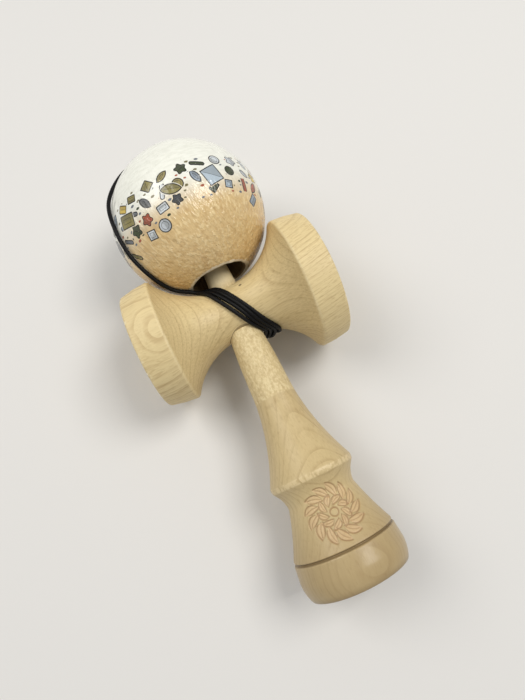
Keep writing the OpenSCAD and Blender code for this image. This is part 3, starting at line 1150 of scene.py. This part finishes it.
@dataclass(frozen=True)
class BeadFinish:
    """Dark stained bead."""

    grain: GrainLook = GrainLook(srgb(120, 80, 48), srgb(70, 44, 26), 1.2, 1.0, 0.01, 0.5, 0.5, 0.2, 0.4)

    def material(self, groups: Groups, centre: Triple) -> bpy.types.Material:
        """Builds the bead's material, with its grain along the string.

        Args:
            groups: shared node groups.
            centre: the ball's middle in the handle frame, in mm.

        Returns:
            The material.
        """
        m = MaterialDesk("stained bead wood")
        grain = self.grain.place(m, groups, m.own_frame(LAY.mapping(centre=centre)))
        return m.surface(Base_Color=grain["Color"], Roughness=grain["Lines"] * 0.1 + 0.45,
                         Normal=m.bumps((grain["Height"], 0.3, 0.0001)))


@dataclass(frozen=True)
class StringFinish:
    """Black braided polyester: dark, with a soft sheen on the crowns of the braid."""

    low: Rgba = srgb(2, 2, 2)
    high: Rgba = srgb(9, 9, 11)

    def material(self) -> bpy.types.Material:
        """Builds the string's material from the tube's crown attribute and fine fibre noise.

        Returns:
            The material.
        """
        m = MaterialDesk("black braided string")
        crown, fuzz = m.stored("crown"), m.noise(m.own_frame(LAY.mapping()), 7.0, 2.0, 0.6)
        # Painted sheen and shade: the braid's crowns are painted a little lighter and the hollows between them
        # darker
        tone = crown.step(0.2, 1.0) * fuzz.step(0.25, 0.75, 0.45, 1.0)
        rough = crown.step(0.0, 1.0, 0.66, 0.46)
        return m.surface(Base_Color=m.mix(tone, self.low, self.high), Roughness=rough,
                         Normal=m.bumps((fuzz, 0.35, 0.00005)), Specular_IOR_Level=0.24)


# Pieces


@dataclass(frozen=True)
class Rosette:
    """Rosette carved into the handle's skirt: two rings of leaves about a small disc.

    A ring of leaves is given by its count, its middle radius, a leaf's half length and half width, and its
    slant. Lines and ribs are given by the distances at which their cut is full and gone.
    """

    along: float = -79.0
    turn: float = 4.0
    stretch: float = 1.09
    reach: float = 12.0
    disc_r: float = 1.4
    rings: tuple[tuple[float, ...], ...] = ((13, 7.6, 3.2, 1.3, 0.7), (9, 4.1, 2.2, 0.95, -0.7))
    line: tuple[float, float] = (0.12, 0.3)
    rib: tuple[float, float] = (0.06, 0.2)
    leaf_depth: float = 0.16
    cut_depth: float = 0.26

    def masks(self, points: np.ndarray) -> tuple[np.ndarray, np.ndarray]:
        """Cut lines and leaves' faces at points of the handle's surface.

        The skirt is unrolled to distance round it and along it. In polar form about the rosette's middle, each
        ring of leaves repeats one lens shape, turned aslant, whose edge and midrib are cut as lines.

        Args:
            points: handle frame points in mm, last axis of length 3.

        Returns:
            Masks of the cut lines and of the leaves' faces, from 0 to 1.
        """
        x, y, z = np.moveaxis(points, -1, 0)
        around = np.arctan2(x, z) - math.radians(self.turn)
        u = around * np.hypot(x, z) + 0.2 * wobble(points, 8.0, 0.7)
        v = (y - self.along) * self.stretch
        radius, turn = np.hypot(u, v), np.arctan2(v, u)
        cut = fade(np.abs(radius - self.disc_r), *self.line)
        leaves = np.zeros_like(cut)
        for count, middle, long, wide, slant in self.rings:
            sector = FULL_TURN / count
            across, out = (np.mod(turn, sector) - sector / 2) * middle, radius - middle
            co, si = math.cos(slant), math.sin(slant)
            px, py = out * co + across * si, across * co - out * si
            lens_r = bowl_radius(long, wide)
            d = np.hypot(px, np.abs(py) + lens_r - wide) - lens_r
            leaves = np.maximum(leaves, fade(d, -0.3, 0.0))
            rib = 0.8 * fade(np.abs(py), *self.rib) * fade(d, -0.6, -0.3)
            cut = np.maximum(cut, np.maximum(fade(np.abs(d), *self.line), rib))
        shown = fade(radius, self.reach - 0.1, self.reach + 0.1) * (np.abs(around) < 1.5)
        return cut * shown, leaves * shown


@dataclass
class Handle:
    """Handle: spike, spindle, shaft, ring edge, neck, skirt and base cup, turned in one piece."""

    spike_len: float = 55.6
    spike_d: float = 10.8
    spike_tip_d: float = 6.2
    tip_r: float = 1.0
    spindle_d: float = 11.0
    shaft_top_d: float = 12.6
    shaft_d: float = 15.0
    flare_pos: float = 34.0
    flare_bow: float = 0.78
    ring_pos: float = 65.2
    ring_d: float = 31.0
    ring_band: float = 1.5
    neck_pos: float = 73.6
    neck_d: float = 24.6
    skirt_bow: float = 0.25
    groove_pos: float = 90.2
    groove_d: float = 36.4
    groove_depth: float = 0.9
    groove_w: float = 1.1
    base_d: float = 38.0
    base_pos: float = 96.4
    base_bow: float = 2.2
    length: float = 102.6
    base_rim_d: float = 35.2
    base_rim_w: float = 1.6
    base_cup_depth: float = 7.0
    waist_r: float = 10.2
    seat_depth: float = 1.8
    chip_depth: float = 0.1
    spacing: float = 0.16
    softness: float = 0.26
    coarse: int = 3
    fine_rows: tuple[float, float] = (-91.2, -67.5)
    fine_half: float = 0.84
    fine_columns: int = 130
    columns: int = 68
    rosette: Rosette = field(default_factory=Rosette)
    finish: HandleFinish = field(default_factory=HandleFinish)

    def outline(self) -> np.ndarray:
        """Outline from the spike's tip to the middle of the base cup.

        Returns:
            Radius and distance along the handle in mm, shape (n, 2).
        """
        s = np.linspace(0.0, 1.0, 40)

        def sweep(start: tuple[float, float], end: tuple[float, float], bend: np.ndarray) -> np.ndarray:
            """Curve between two points of radius and distance down the handle, its radius eased by a bend."""
            (r0, y0), (r1, y1) = start, end
            return np.stack([r0 + (r1 - r0) * bend, -y0 - (y1 - y0) * s], axis=1)

        shaft, ring, neck, waist = self.shaft_d / 2, self.ring_d / 2, self.neck_d / 2, self.waist_r
        groove, half_w, seat = self.groove_d / 2, self.groove_w / 2, self.seat_depth
        flare = sweep((shaft, self.flare_pos), (ring, self.ring_pos),
                      (1 - self.flare_bow) * s + self.flare_bow * s * s)
        throat = sweep((ring - 0.2, self.ring_pos + self.ring_band), (neck, self.neck_pos), 1 - (1 - s) ** 2)
        skirt = sweep((neck, self.neck_pos), (groove, self.groove_pos - half_w),
                      (1 - self.skirt_bow) * s + self.skirt_bow * s * s)
        belly = sweep((self.base_d / 2, self.base_pos), (self.base_rim_d / 2, self.length), s ** self.base_bow)
        rim, depth = self.base_rim_d / 2 - self.base_rim_w, self.base_cup_depth
        bowl_r = bowl_radius(rim, depth)
        a = np.linspace(math.asin(rim / bowl_r), 0.002, 40)
        bowl = np.stack([bowl_r * np.sin(a), depth - bowl_r * (1 - np.cos(a)) - self.length], axis=1)
        tip = arc((self.spike_tip_d / 2 - self.tip_r, self.spike_len - self.tip_r), self.tip_r, 90, 10, 8)
        spike, spindle, top = self.spike_d / 2, self.spindle_d / 2, self.shaft_top_d / 2
        stem = [[spike, waist], [spike, waist - 1], [spindle, waist - 2], [spindle, seat - waist],
                [top, seat - waist], [top, -waist - 0.8], [shaft - 0.45, -self.flare_pos * 0.62]]
        cut = [[groove - self.groove_depth, -self.groove_pos], [groove + 0.2, -self.groove_pos - half_w]]
        start = [[0.01, self.spike_len]]
        return np.concatenate([start, tip, stem, flare, throat[:-1], skirt, cut, belly, bowl])

    def rows(self) -> np.ndarray:
        """Softened outline, with all its points about the rosette and every few elsewhere.

        Returns:
            Radius and distance along the handle in mm, shape (n, 2).
        """
        line = soften(self.outline(), self.spacing, self.softness)
        number = np.arange(len(line))
        skirt = (line[:, 1] > self.fine_rows[0]) & (line[:, 1] < self.fine_rows[1])
        return line[skirt | (number % self.coarse == 0) | (number == len(line) - 1)]

    def angles(self) -> np.ndarray:
        """Angles of a ring's points, close together across the rosette.

        Returns:
            The angles in radians.
        """
        first = math.radians(self.rosette.turn) - self.fine_half
        last = first + 2 * self.fine_half
        fine = np.linspace(first, last, self.fine_columns)
        return np.concatenate([fine, np.linspace(last, first + FULL_TURN, self.columns)[1:-1]])

    def build(self, groups: Groups) -> bpy.types.Object:
        """Builds, dresses and places the handle.

        Args:
            groups: shared node groups.

        Returns:
            The handle's object.
        """
        points = turned(self.rows(), self.angles(), 1)
        chipped = smooth_step(1 - np.abs(points[..., 1] + self.ring_pos + 0.7) / 1.6)
        chips = self.chip_depth * chipped * (wobble(points, 5.0, 1.3) - 0.8)
        cut, leaves = self.rosette.masks(points)
        carved = self.rosette.leaf_depth * leaves + self.rosette.cut_depth * cut
        points = points + unit(points * np.array([1.0, 0.0, 1.0])) * (chips - carved)[..., None]
        obj = SurfaceMaker.grid("handle_turned", LAY.to_row(points), tips=True)
        SurfaceMaker.store(obj, "cut", cut, 0.0)
        SurfaceMaker.store(obj, "leaf", leaves, 0.0)
        obj.data.materials.append(self.finish.material(groups))
        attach(obj, Body.HANDLE.value)
        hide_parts("ken")
        return obj


@dataclass
class CrossPiece:
    """Cross piece: a waist between two flared flanks that end in a big and a small cup."""

    length: float = 73.0
    waist_d: float = 20.4
    waist_half: float = 2.0
    edge_pos: float = 25.3
    big_edge_d: float = 51.6
    small_edge_d: float = 47.6
    big_rim_d: float = 49.4
    small_rim_d: float = 44.6
    rim_w: float = 1.8
    lip_r: float = 0.9
    big_depth: float = 11.5
    small_depth: float = 10.0
    sink_depth: float = 0.2
    spacing: float = 0.34
    softness: float = 0.17
    columns: int = 208
    finish: CrossFinish = field(default_factory=CrossFinish)

    def flank_r(self, edge_d: float) -> float:
        """Radius of the flank's arc for a cup's edge."""
        return bowl_radius(self.edge_pos - self.waist_half, (edge_d - self.waist_d) / 2)

    def surface_r(self, x: np.ndarray) -> np.ndarray:
        """Radius of the waist and flanks.

        Args:
            x: distances along the cross piece in mm.

        Returns:
            The radii in mm.
        """
        r = np.where(x > 0, self.flank_r(self.big_edge_d), self.flank_r(self.small_edge_d))
        run = np.maximum(0.0, np.abs(x) - self.waist_half)
        return self.waist_d / 2 + r - np.sqrt(r * r - run * run)

    def end_outline(self, edge_d: float, rim_d: float, depth: float) -> np.ndarray:
        """Outline of one end, from the waist to the middle of the cup.

        Args:
            edge_d: diameter of the cup's edge.
            rim_d: diameter of the cup's rim.
            depth: depth of the cup.

        Returns:
            Radius and distance from the middle in mm, shape (n, 2).
        """
        r = self.flank_r(edge_d)
        a = np.linspace(0.0, math.asin((self.edge_pos - self.waist_half) / r), 60)
        flank = np.stack([self.waist_d / 2 + r * (1 - np.cos(a)), self.waist_half + r * np.sin(a)], axis=1)
        end, rim, lip_r = self.length / 2, rim_d / 2, self.lip_r
        band = [[edge_d / 2, self.edge_pos + 0.5], [(edge_d + rim_d) / 4 + 0.25, (self.edge_pos + end) / 2],
                [rim, end - lip_r]]
        lip = arc((rim - lip_r, end - lip_r), lip_r, 10, 90, 8)
        bowl_r = bowl_radius(rim - self.rim_w, depth)
        b = np.linspace(math.asin((rim - self.rim_w) / bowl_r), 0.002, 50)
        dish = np.stack([bowl_r * np.sin(b), end - depth + bowl_r * (1 - np.cos(b))], axis=1)
        return np.concatenate([flank[:-1], band, lip, dish])

    def build(self, groups: Groups) -> bpy.types.Object:
        """Builds, dresses and places the cross piece, with a small countersink where the handle passes through.

        Args:
            groups: shared node groups.

        Returns:
            The cross piece's object.
        """
        big = self.end_outline(self.big_edge_d, self.big_rim_d, self.big_depth)
        small = self.end_outline(self.small_edge_d, self.small_rim_d, self.small_depth)
        line = np.concatenate([small[::-1] * np.array([1.0, -1.0]), big])
        points = turned(soften(line, self.spacing, self.softness), even_angles(self.columns), 0)
        x, y, z = np.moveaxis(points, -1, 0)
        fit = np.hypot(x, z) - np.where(y < 0, self.finish.shaft_bore, self.finish.spike_bore)
        sunk = self.sink_depth * smooth_step(1 - (fit - 0.1) / 0.5) * (np.abs(y) > 6.0)
        points[..., 1] = y - np.sign(y) * sunk
        obj = SurfaceMaker.grid("cross_piece_turned", LAY.to_row(points), tips=True, flip=True)
        obj.data.materials.append(self.finish.material(groups))
        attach(obj, Body.HANDLE.value)
        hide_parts("sarado")
        return obj


@dataclass
class Ball:
    """Ball: a turned shell with a bevelled spike hole, a bead bore and a string hole at the far pole."""

    centre: Triple = (-0.685665, 42.0597, 2.71626)
    diameter: float = 60.0
    hole_d: float = 21.5
    hole_depth: float = 43.0
    bevel: float = 0.9
    bore_d: float = 9.6
    string_hole_d: float = 2.8
    string_sink: float = 0.7
    pole_wall: float = 5.3
    lean: Triple = (3.0, 0.0, 2.0)
    chip_depth: float = 0.16
    chip_reach: float = 2.2
    spacing: float = 0.45
    softness: float = 0.2
    columns: int = 224
    finish: BallFinish = field(default_factory=BallFinish)

    @property
    def radius(self) -> float:
        """Half of the diameter."""
        return self.diameter / 2

    def leaned(self, points: np.ndarray) -> np.ndarray:
        """Points about the ball's middle, turned as the ball leans on the spike."""
        return points @ np.array(Euler([math.radians(v) for v in self.lean], "XYZ").to_matrix()).T

    def outline(self) -> np.ndarray:
        """Closed outline: over the ball to the hole, then up through hole, bore and string hole to the pole.

        Returns:
            Radius and distance along the hole in mm, shape (n, 2).
        """
        r, hole, bore, string = self.radius, self.hole_d / 2, self.bore_d / 2, self.string_hole_d / 2
        mouth = -math.sqrt(r * r - (hole + self.bevel) ** 2)
        end, seat, sink = mouth + self.hole_depth, r - self.pole_wall, string + self.string_sink
        polar = np.linspace(math.asin(sink / r), math.pi - math.asin((hole + self.bevel) / r), 220)
        shell = np.stack([r * np.sin(polar), r * np.cos(polar)], axis=1)
        inside = [[hole, mouth + self.bevel], [hole, end], [bore, end], [bore, seat], [string, seat],
                  [string, r - self.string_sink], [sink, r * math.cos(polar[0])]]
        return np.concatenate([shell, inside])

    def build(self, groups: Groups) -> bpy.types.Object:
        """Builds, dresses and places the ball, with an uneven lip at its hole.

        Args:
            groups: shared node groups.

        Returns:
            The ball's object.
        """
        line = soften(self.outline(), self.spacing, self.softness)[:-1]
        points = turned(line, even_angles(self.columns), 1)
        x, y, z = np.moveaxis(points, -1, 0)
        from_lip = np.hypot(np.hypot(x, z) - self.hole_d / 2 - 0.4, y - line[:, 1].min())
        lip = smooth_step(1 - from_lip / self.chip_reach)
        points[..., 1] += self.chip_depth * lip * (wobble(points, 7.0, 0.4) + 0.8)
        whole = LAY.to_row(self.leaned(points) + np.array(self.centre))
        obj = SurfaceMaker.grid("ball_turned", whole, close_rows=True)
        obj.data.materials.append(self.finish.material(groups, self.centre, self.lean, self.radius))
        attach(obj, Body.BALL.value)
        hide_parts("tama")
        return obj


@dataclass
class BraidedString:
    """String: from its knot under the bead out of the ball's far pole, over the ball and round the crossing.

    The run's angles are degrees from the far pole and degrees above the ball's left side.
    """

    ball: Ball
    cross: CrossPiece
    diameter: float = 1.5
    lay_gap: float = 0.2
    turns: float = 3.75
    pitch: float = 1.66
    start: float = 0.08
    shift: float = 0.5
    slant: float = 6.3
    spike_d: float = 10.8
    shaft_top_d: float = 12.6
    bead_low: float = 18.9
    pocket_floor: float = 1.9753
    knot_half: float = 1.35
    knot_sides: int = 14
    knot_steps: int = 96
    knot_flat: float = 0.36
    knot_rise: float = 0.62
    braid_low: float = 0.9
    braid_rise: float = 0.14
    sides: int = 20
    spacing: float = 0.2
    finish: StringFinish = field(default_factory=StringFinish)
    run_angles: tuple[tuple[float, float], ...] = (
        (16, 31), (24, 31.5), (32, 29.75), (40, 27.25), (48, 25.75), (56, 25.5), (64, 26.5), (72, 28.5),
        (80, 30.25), (88, 31), (96, 30.5), (104, 29), (112, 27), (120, 25), (128, 22), (135, 18), (142, 13),
        (148, 8))
    run_last: tuple[Triple, ...] = ((-14, 14.6, 4.4), (-12.2, 13.4, 4))
    stray: tuple[float, ...] = (-0.45, 0.1, -0.12, -0.42)
    stacked: tuple[float, ...] = (0.0, 0.0, 0.5, 0.0)
    still_at: Triple = (-11.0, 13.0, 0.0)
    moving_at: Triple = (-26.0, 32.0, 0.0)

    @property
    def bend(self) -> float:
        """Radius of the bends at the string's two holes."""
        return 2 * self.diameter

    def winding(self, u: np.ndarray) -> np.ndarray:
        """Points of the winding at numbers of turns from the spike side.

        Along the cross piece a turn leans by slant times the cosine and a sharp step of its seventh power, and
        each turn is shifted by the pitch. The last quarter slides to the middle under the lifted turns at the
        back. The radius is the cross piece's surface, plus half a string and the lay gap. On the front each
        turn strays and rises a little, by its own amount times the squared sine.

        Args:
            u: numbers of turns.

        Returns:
            Handle frame points in mm, shape (n, 3).
        """
        c, s = np.cos(FULL_TURN * u), np.sin(FULL_TURN * u)
        half = self.pitch * (self.turns / 2 - 0.625)
        step = max(self.shaft_top_d / 2 + 0.5 - self.shift, self.spike_d / 2 + 0.5 + self.shift)
        step += self.diameter / 2 + half - self.slant
        to_hole = smooth_step((u - self.turns + 0.17) / 0.16)
        front = np.clip(s, 0.0, 1.0) ** 2
        fronts = np.arange(len(self.stray)) + 0.25
        moved = self.pitch * (u - (self.turns - 0.25) / 2) + self.shift
        moved = moved + front * np.interp(u, fronts, self.stray)
        x = moved * (1 - to_hole) - self.slant * c - step * c ** 7
        lifted = np.where(u < self.turns - 0.5, (self.diameter + 0.6) * smooth_step((-s - 0.05) / 0.42), 0.0)
        r = self.cross.surface_r(x) + self.diameter / 2 + self.lay_gap + lifted
        r = r + front * np.interp(u, fronts, self.stacked)
        return np.stack([x, r * c, r * s], axis=1)

    def over_ball(self) -> np.ndarray:
        """Corner points from the knot under the bead, out of the pole and over the ball to the crossing.

        Returns:
            Handle frame points in mm, shape (n, 3).
        """
        centre, lift = np.array(self.ball.centre), self.ball.radius + self.diameter / 2 + self.lay_gap
        lead_end = lift - self.bend - self.diameter
        lead = np.outer(np.linspace(self.bead_low - 0.6, lead_end, 14), [0, 1, 0])
        first = math.radians(self.run_angles[0][1])
        side = np.array([-math.cos(first), 0, math.sin(first)])
        a = np.radians(np.arange(0.0, 91.0, 15.0))[:, None]
        rise = lead_end + self.diameter + self.bend * np.sin(a)
        pole = side * self.bend * (1 - np.cos(a)) + np.array([0, 1, 0]) * rise
        polar, turn = np.radians(np.array(self.run_angles, float)).T
        over = np.stack([-np.sin(polar) * np.cos(turn), np.cos(polar), np.sin(polar) * np.sin(turn)], axis=1)
        last = np.array(self.run_last, float) - centre
        last = last * np.maximum(1.0, lift / np.linalg.norm(last, axis=1, keepdims=True))
        return centre + np.concatenate([self.ball.leaned(np.concatenate([lead, pole])), lift * over, last])

    def round_crossing(self) -> np.ndarray:
        """Corner points round the crossing, into the cross piece's string hole and up to the knot.

        Returns:
            Handle frame points in mm, shape (n, 3).
        """
        coil_r = self.cross.waist_d / 2 + self.diameter / 2 + self.lay_gap
        bend_from = self.turns - math.asin(self.bend * math.cos(math.radians(28)) / coil_r) / FULL_TURN
        wound = self.winding(np.linspace(self.start, bend_from, int(96 * (bend_from - self.start))))
        before = wound[:1] - unit(wound[1:2] - wound[:1]) * self.diameter
        into = unit(wound[-1] * np.array([1.0, 1.0, 0.0]))
        b = np.radians(np.arange(15.0, 91.0, 15.0))[:, None]
        up = np.array([0, 0, 1])
        hole = into * self.bend * (1 - np.sin(b)) + up * (self.bend * (1 - np.cos(b)) - coil_r)
        anchor_end = self.bend + self.diameter - coil_r
        anchor = np.outer(np.linspace(anchor_end, self.pocket_floor + 0.6, 14), up)
        return np.concatenate([before, wound, hole, anchor])

    def smooth_route(self) -> np.ndarray:
        """Evenly spaced points on a smooth curve through the route.

        Between neighbouring corners a cubic leaves along the mean of its two chords, with the chords' own
        lengths as its pace. The curve is then walked at the even spacing and lightly averaged.

        Returns:
            Handle frame points in mm, shape (n, 3).
        """
        p = np.concatenate([self.over_ball(), self.round_crossing()])
        chord = np.diff(p, axis=0)
        pace = np.linalg.norm(chord, axis=1)
        way = chord / pace[:, None]
        mean = unit(way[:-1] * pace[1:, None] + way[1:] * pace[:-1, None])
        slope = np.concatenate([way[:1], mean, way[-1:]])
        t = np.linspace(0, 1, 24, endpoint=False)[None, :, None]
        h = pace[:, None, None]
        fine = ((2 * t ** 3 - 3 * t ** 2 + 1) * p[:-1, None] + (t ** 3 - 2 * t ** 2 + t) * h * slope[:-1, None]
                + (3 * t ** 2 - 2 * t ** 3) * p[1:, None] + (t ** 3 - t ** 2) * h * slope[1:, None])
        return averaged(even_walk(np.concatenate([fine.reshape(-1, 3), p[-1:]]), self.spacing), 4, 2.0)

    @staticmethod
    def braid(angle: np.ndarray, along: np.ndarray) -> np.ndarray:
        """Height of an eight-strand round braid from 0 to 1: the higher of two sets of four helical crowns."""
        right, left = np.cos(4 * (angle - 1.25 * along)), np.cos(4 * (angle + 1.25 * along))
        return 0.5 + 0.5 * np.maximum(right, left)

    def tube(self, path: np.ndarray, sides: int, close: bool) -> tuple[np.ndarray, np.ndarray]:
        """Braided tube round a path: rings square to it, swollen by the braid's crowns.

        Args:
            path: handle frame points in mm, shape (n, 3).
            sides: points in a ring.
            close: the path is a closed loop.

        Returns:
            Tube points of shape (n, sides, 3) in mm, and the crown height of each.
        """
        angle = even_angles(sides)
        ahead = np.roll(path, -1, axis=0) - np.roll(path, 1, axis=0)
        if not close:
            ahead[0], ahead[-1] = path[1] - path[0], path[-1] - path[-2]
        ahead = unit(ahead)
        aside = np.array([1.0, 0.05, 0.02])
        across = unit(aside - ahead * (ahead @ aside)[:, None])
        third = np.cross(ahead, across)
        crown = self.braid(angle[None, :], walked(path)[:, None])
        r = self.diameter / 2 * (self.braid_low + self.braid_rise * crown)
        ring = across[:, None] * np.cos(angle)[None, :, None] + third[:, None] * np.sin(angle)[None, :, None]
        return path[:, None] + r[..., None] * ring, crown

    def finish_piece(self, obj: bpy.types.Object, crown: np.ndarray, material: bpy.types.Material) -> None:
        """Stores the crown heights and gives the piece its material and slot.

        Args:
            obj: the piece.
            crown: crown height of each point.
            material: the string's material.
        """
        SurfaceMaker.store(obj, "crown", crown, 0.5)
        obj.data.materials.append(material)

    def knot(self, name: str, place: np.ndarray, up: np.ndarray, node: str, body: Body,
             material: bpy.types.Material) -> bpy.types.Object:
        """Overhand knot drawn tight: a braided tube along a trefoil.

        The trefoil is (sin t + 2 sin 2t, cos t - 2 cos 2t, -sin 3t), scaled into the knot's room.

        Args:
            name: object's name.
            place: middle of the knot in the handle frame, in mm.
            up: direction of the string through it.
            node: the solid that it stands for.
            body: the body that it rides on.
            material: the string's material.

        Returns:
            The knot's object.
        """
        t = even_angles(self.knot_steps)[:, None]
        side = np.array([1.0, 0.0, 0.0])
        flat = (np.sin(t) + 2 * np.sin(2 * t)) * side + (np.cos(t) - 2 * np.cos(2 * t)) * np.cross(up, side)
        path = place + self.knot_flat * flat - self.knot_rise * np.sin(3 * t) * up
        points, crown = self.tube(path, self.knot_sides, True)
        obj = SurfaceMaker.grid(name, LAY.to_row(points), close_rows=True)
        self.finish_piece(obj, crown, material)
        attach(obj, body.value)
        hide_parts(node)
        return obj

    def build(self) -> list[bpy.types.Object]:
        """Returns:
            The string's object, then the knots.
        """
        material = self.finish.material()
        path = self.smooth_route()
        points, crown = self.tube(path, self.sides, False)
        obj = SurfaceMaker.grid("string_braided", LAY.to_row(points), tips=True)
        self.finish_piece(obj, crown, material)
        row_path = LAY.to_row(path)
        waist, side = LAY.to_row(np.array([self.still_at, self.moving_at]))
        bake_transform(obj)
        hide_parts("string_lead", "string_run", "string_winding", "string_anchor")
        ball_up, out = self.ball.leaned(np.array([0.0, 1.0, 0.0])), np.array([0.0, 0.0, 1.0])
        under_bead = np.array(self.ball.centre) + ball_up * (self.bead_low - self.knot_half)
        in_pocket = out * (self.pocket_floor + self.knot_half)
        knots = [
            self.knot("bead_knot_tied", under_bead, ball_up, "bead_knot", Body.STRING_END, material),
            self.knot("end_knot_tied", in_pocket, out, "end_knot", Body.HANDLE, material),
        ]
        return [obj, *knots]


# Stage


@dataclass(frozen=True)
class PhotoCamera:
    """Camera of the photograph, in the handle frame in mm, for an image of 525 by 700 points."""

    place: Triple = (-7.298, -60.536, 176.108)
    right: Triple = (0.9067, -0.4192, -0.0467)
    down: Triple = (-0.4177, -0.8771, -0.2371)
    focal: float = 485.0
    tall: float = 700.0
    sensor: float = 36.0

    def build(self) -> None:
        """Makes the camera and sets it as the scene's."""
        data = bpy.data.cameras.new("photo camera")
        data.sensor_fit = "VERTICAL"
        data.sensor_height = self.sensor
        data.lens = self.focal / self.tall * self.sensor
        data.clip_start = 0.01
        obj = bpy.data.objects.new("photo camera", data)
        bpy.context.scene.collection.objects.link(obj)
        right = LAY.direction(self.right).normalized()
        up = -LAY.direction(self.down)
        up = (up - right * up.dot(right)).normalized()
        turn = Matrix((right, up, right.cross(up))).transposed().to_4x4()
        obj.matrix_world = Matrix.Translation(Vector(LAY.to_row(np.array([self.place]))[0])) @ turn
        bpy.context.scene.camera = obj


@dataclass(frozen=True)
class Softbox:
    """Square area lamp that faces a point, with its place and size in metres."""

    name: str
    place: Triple
    size: float
    watts: float
    colour: Triple
    target: Triple = (0.0, 0.0, 0.02)

    def build(self) -> None:
        """Makes the lamp."""
        data = bpy.data.lights.new(self.name, "AREA")
        data.shape = "SQUARE"
        data.size = self.size
        data.energy = self.watts
        data.color = self.colour
        obj = bpy.data.objects.new(self.name, data)
        obj.location = self.place
        obj.rotation_euler = (Vector(self.place) - Vector(self.target)).to_track_quat("Z", "Y").to_euler()
        bpy.context.scene.collection.objects.link(obj)


@dataclass(frozen=True)
class Studio:
    """Plain pale floor, soft lamps and an even pale world."""

    floor: Rgba = srgb(226, 224, 220)
    world: Rgba = srgb(240, 242, 246)
    world_strength: float = 0.42
    half: float = 2.0
    fade_mm: tuple[float, float] = (240.0, 800.0)
    lamps: tuple[Softbox, ...] = (
        Softbox("right softbox", (0.5, 0.02, 0.92), 0.45, 5.4, (1.0, 0.98, 0.94)),
        Softbox("left softbox", (-0.5, 0.42, 0.85), 0.6, 4.2, (1.0, 0.98, 0.95)),
    )

    def for_camera(self, desk: NodeDesk, kind: str, lit: bpy.types.Node, out: str, share: Feed) -> None:
        """Shows the camera the floor's plain tone in place of a shader.

        Args:
            desk: desk of the tree.
            kind: type of the node that gives the plain tone.
            lit: the shader that lights and is seen otherwise.
            out: name of the tree's output node.
            share: how far the plain tone takes the shader's place, from 0 to 1.
        """
        plain = desk.add(kind)
        choice = desk.add("ShaderNodeMixShader")
        ray = Wire(desk, desk.add("ShaderNodeLightPath").outputs["Is Camera Ray"])
        desk.result(plain, [("Color", self.floor), ("Strength", 1.0)])
        values = [(0, ray * share), (1, Wire(desk, lit.outputs[0])), (2, Wire(desk, plain.outputs[0]))]
        desk.feed(desk.tree.nodes[out].inputs["Surface"], desk.result(choice, values))

    def room(self) -> None:
        """Makes the world: a soft even light, seen by the camera as a pale wall."""
        world = bpy.data.worlds.new("pale room")
        world.use_nodes = True
        desk = NodeDesk(world.node_tree)
        glow = desk.tree.nodes["Background"]
        desk.result(glow, [("Color", self.world), ("Strength", self.world_strength)])
        self.for_camera(desk, "ShaderNodeBackground", glow, "World Output", 1.0)
        bpy.context.scene.world = world

    def build(self) -> None:
        """Makes the floor, which passes into the wall's tone away from the object, the world and the lamps."""
        corners = np.array([[-1, -1, 0], [1, -1, 0], [1, 1, 0], [-1, 1, 0]], float) * self.half
        floor = SurfaceMaker.mesh_object("floor", corners, np.array([[0, 1, 2, 3]]), np.zeros((0, 3), int))
        m = MaterialDesk("pale floor")
        floor.data.materials.append(m.surface(Base_Color=self.floor, Roughness=0.85, Specular_IOR_Level=0.2))
        far = m.length(m.own_frame(LAY.mapping())).step(*self.fade_mm)
        self.for_camera(m, "ShaderNodeEmission", m.shader, "Material Output", far)
        self.room()
        for lamp in self.lamps:
            lamp.build()
        bpy.context.scene.view_settings.view_transform = "Standard"


def report(obj: bpy.types.Object) -> None:
    """Logs a piece's name and its count of faces."""
    LOG.info("%s: %d faces", obj.name, len(obj.data.polygons))


def write_sizes() -> None:
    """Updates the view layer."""
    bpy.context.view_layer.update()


def main() -> None:
    """Builds the camera, the string, the turned pieces and the stage, and logs each piece."""
    logging.basicConfig(level=logging.INFO, format="%(message)s")
    PhotoCamera().build()
    groups = Groups()
    ball, cross = Ball(), CrossPiece()
    for piece in BraidedString(ball, cross).build():
        report(piece)
    for maker in (Handle(), cross, ball):
        report(maker.build(groups))
    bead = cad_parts["bead"]
    bead.data.materials.clear()
    bead.data.materials.append(BeadFinish().material(groups, ball.centre))
    report(bead)
    Studio().build()
    write_sizes()


if __name__ == "__main__":
    main()
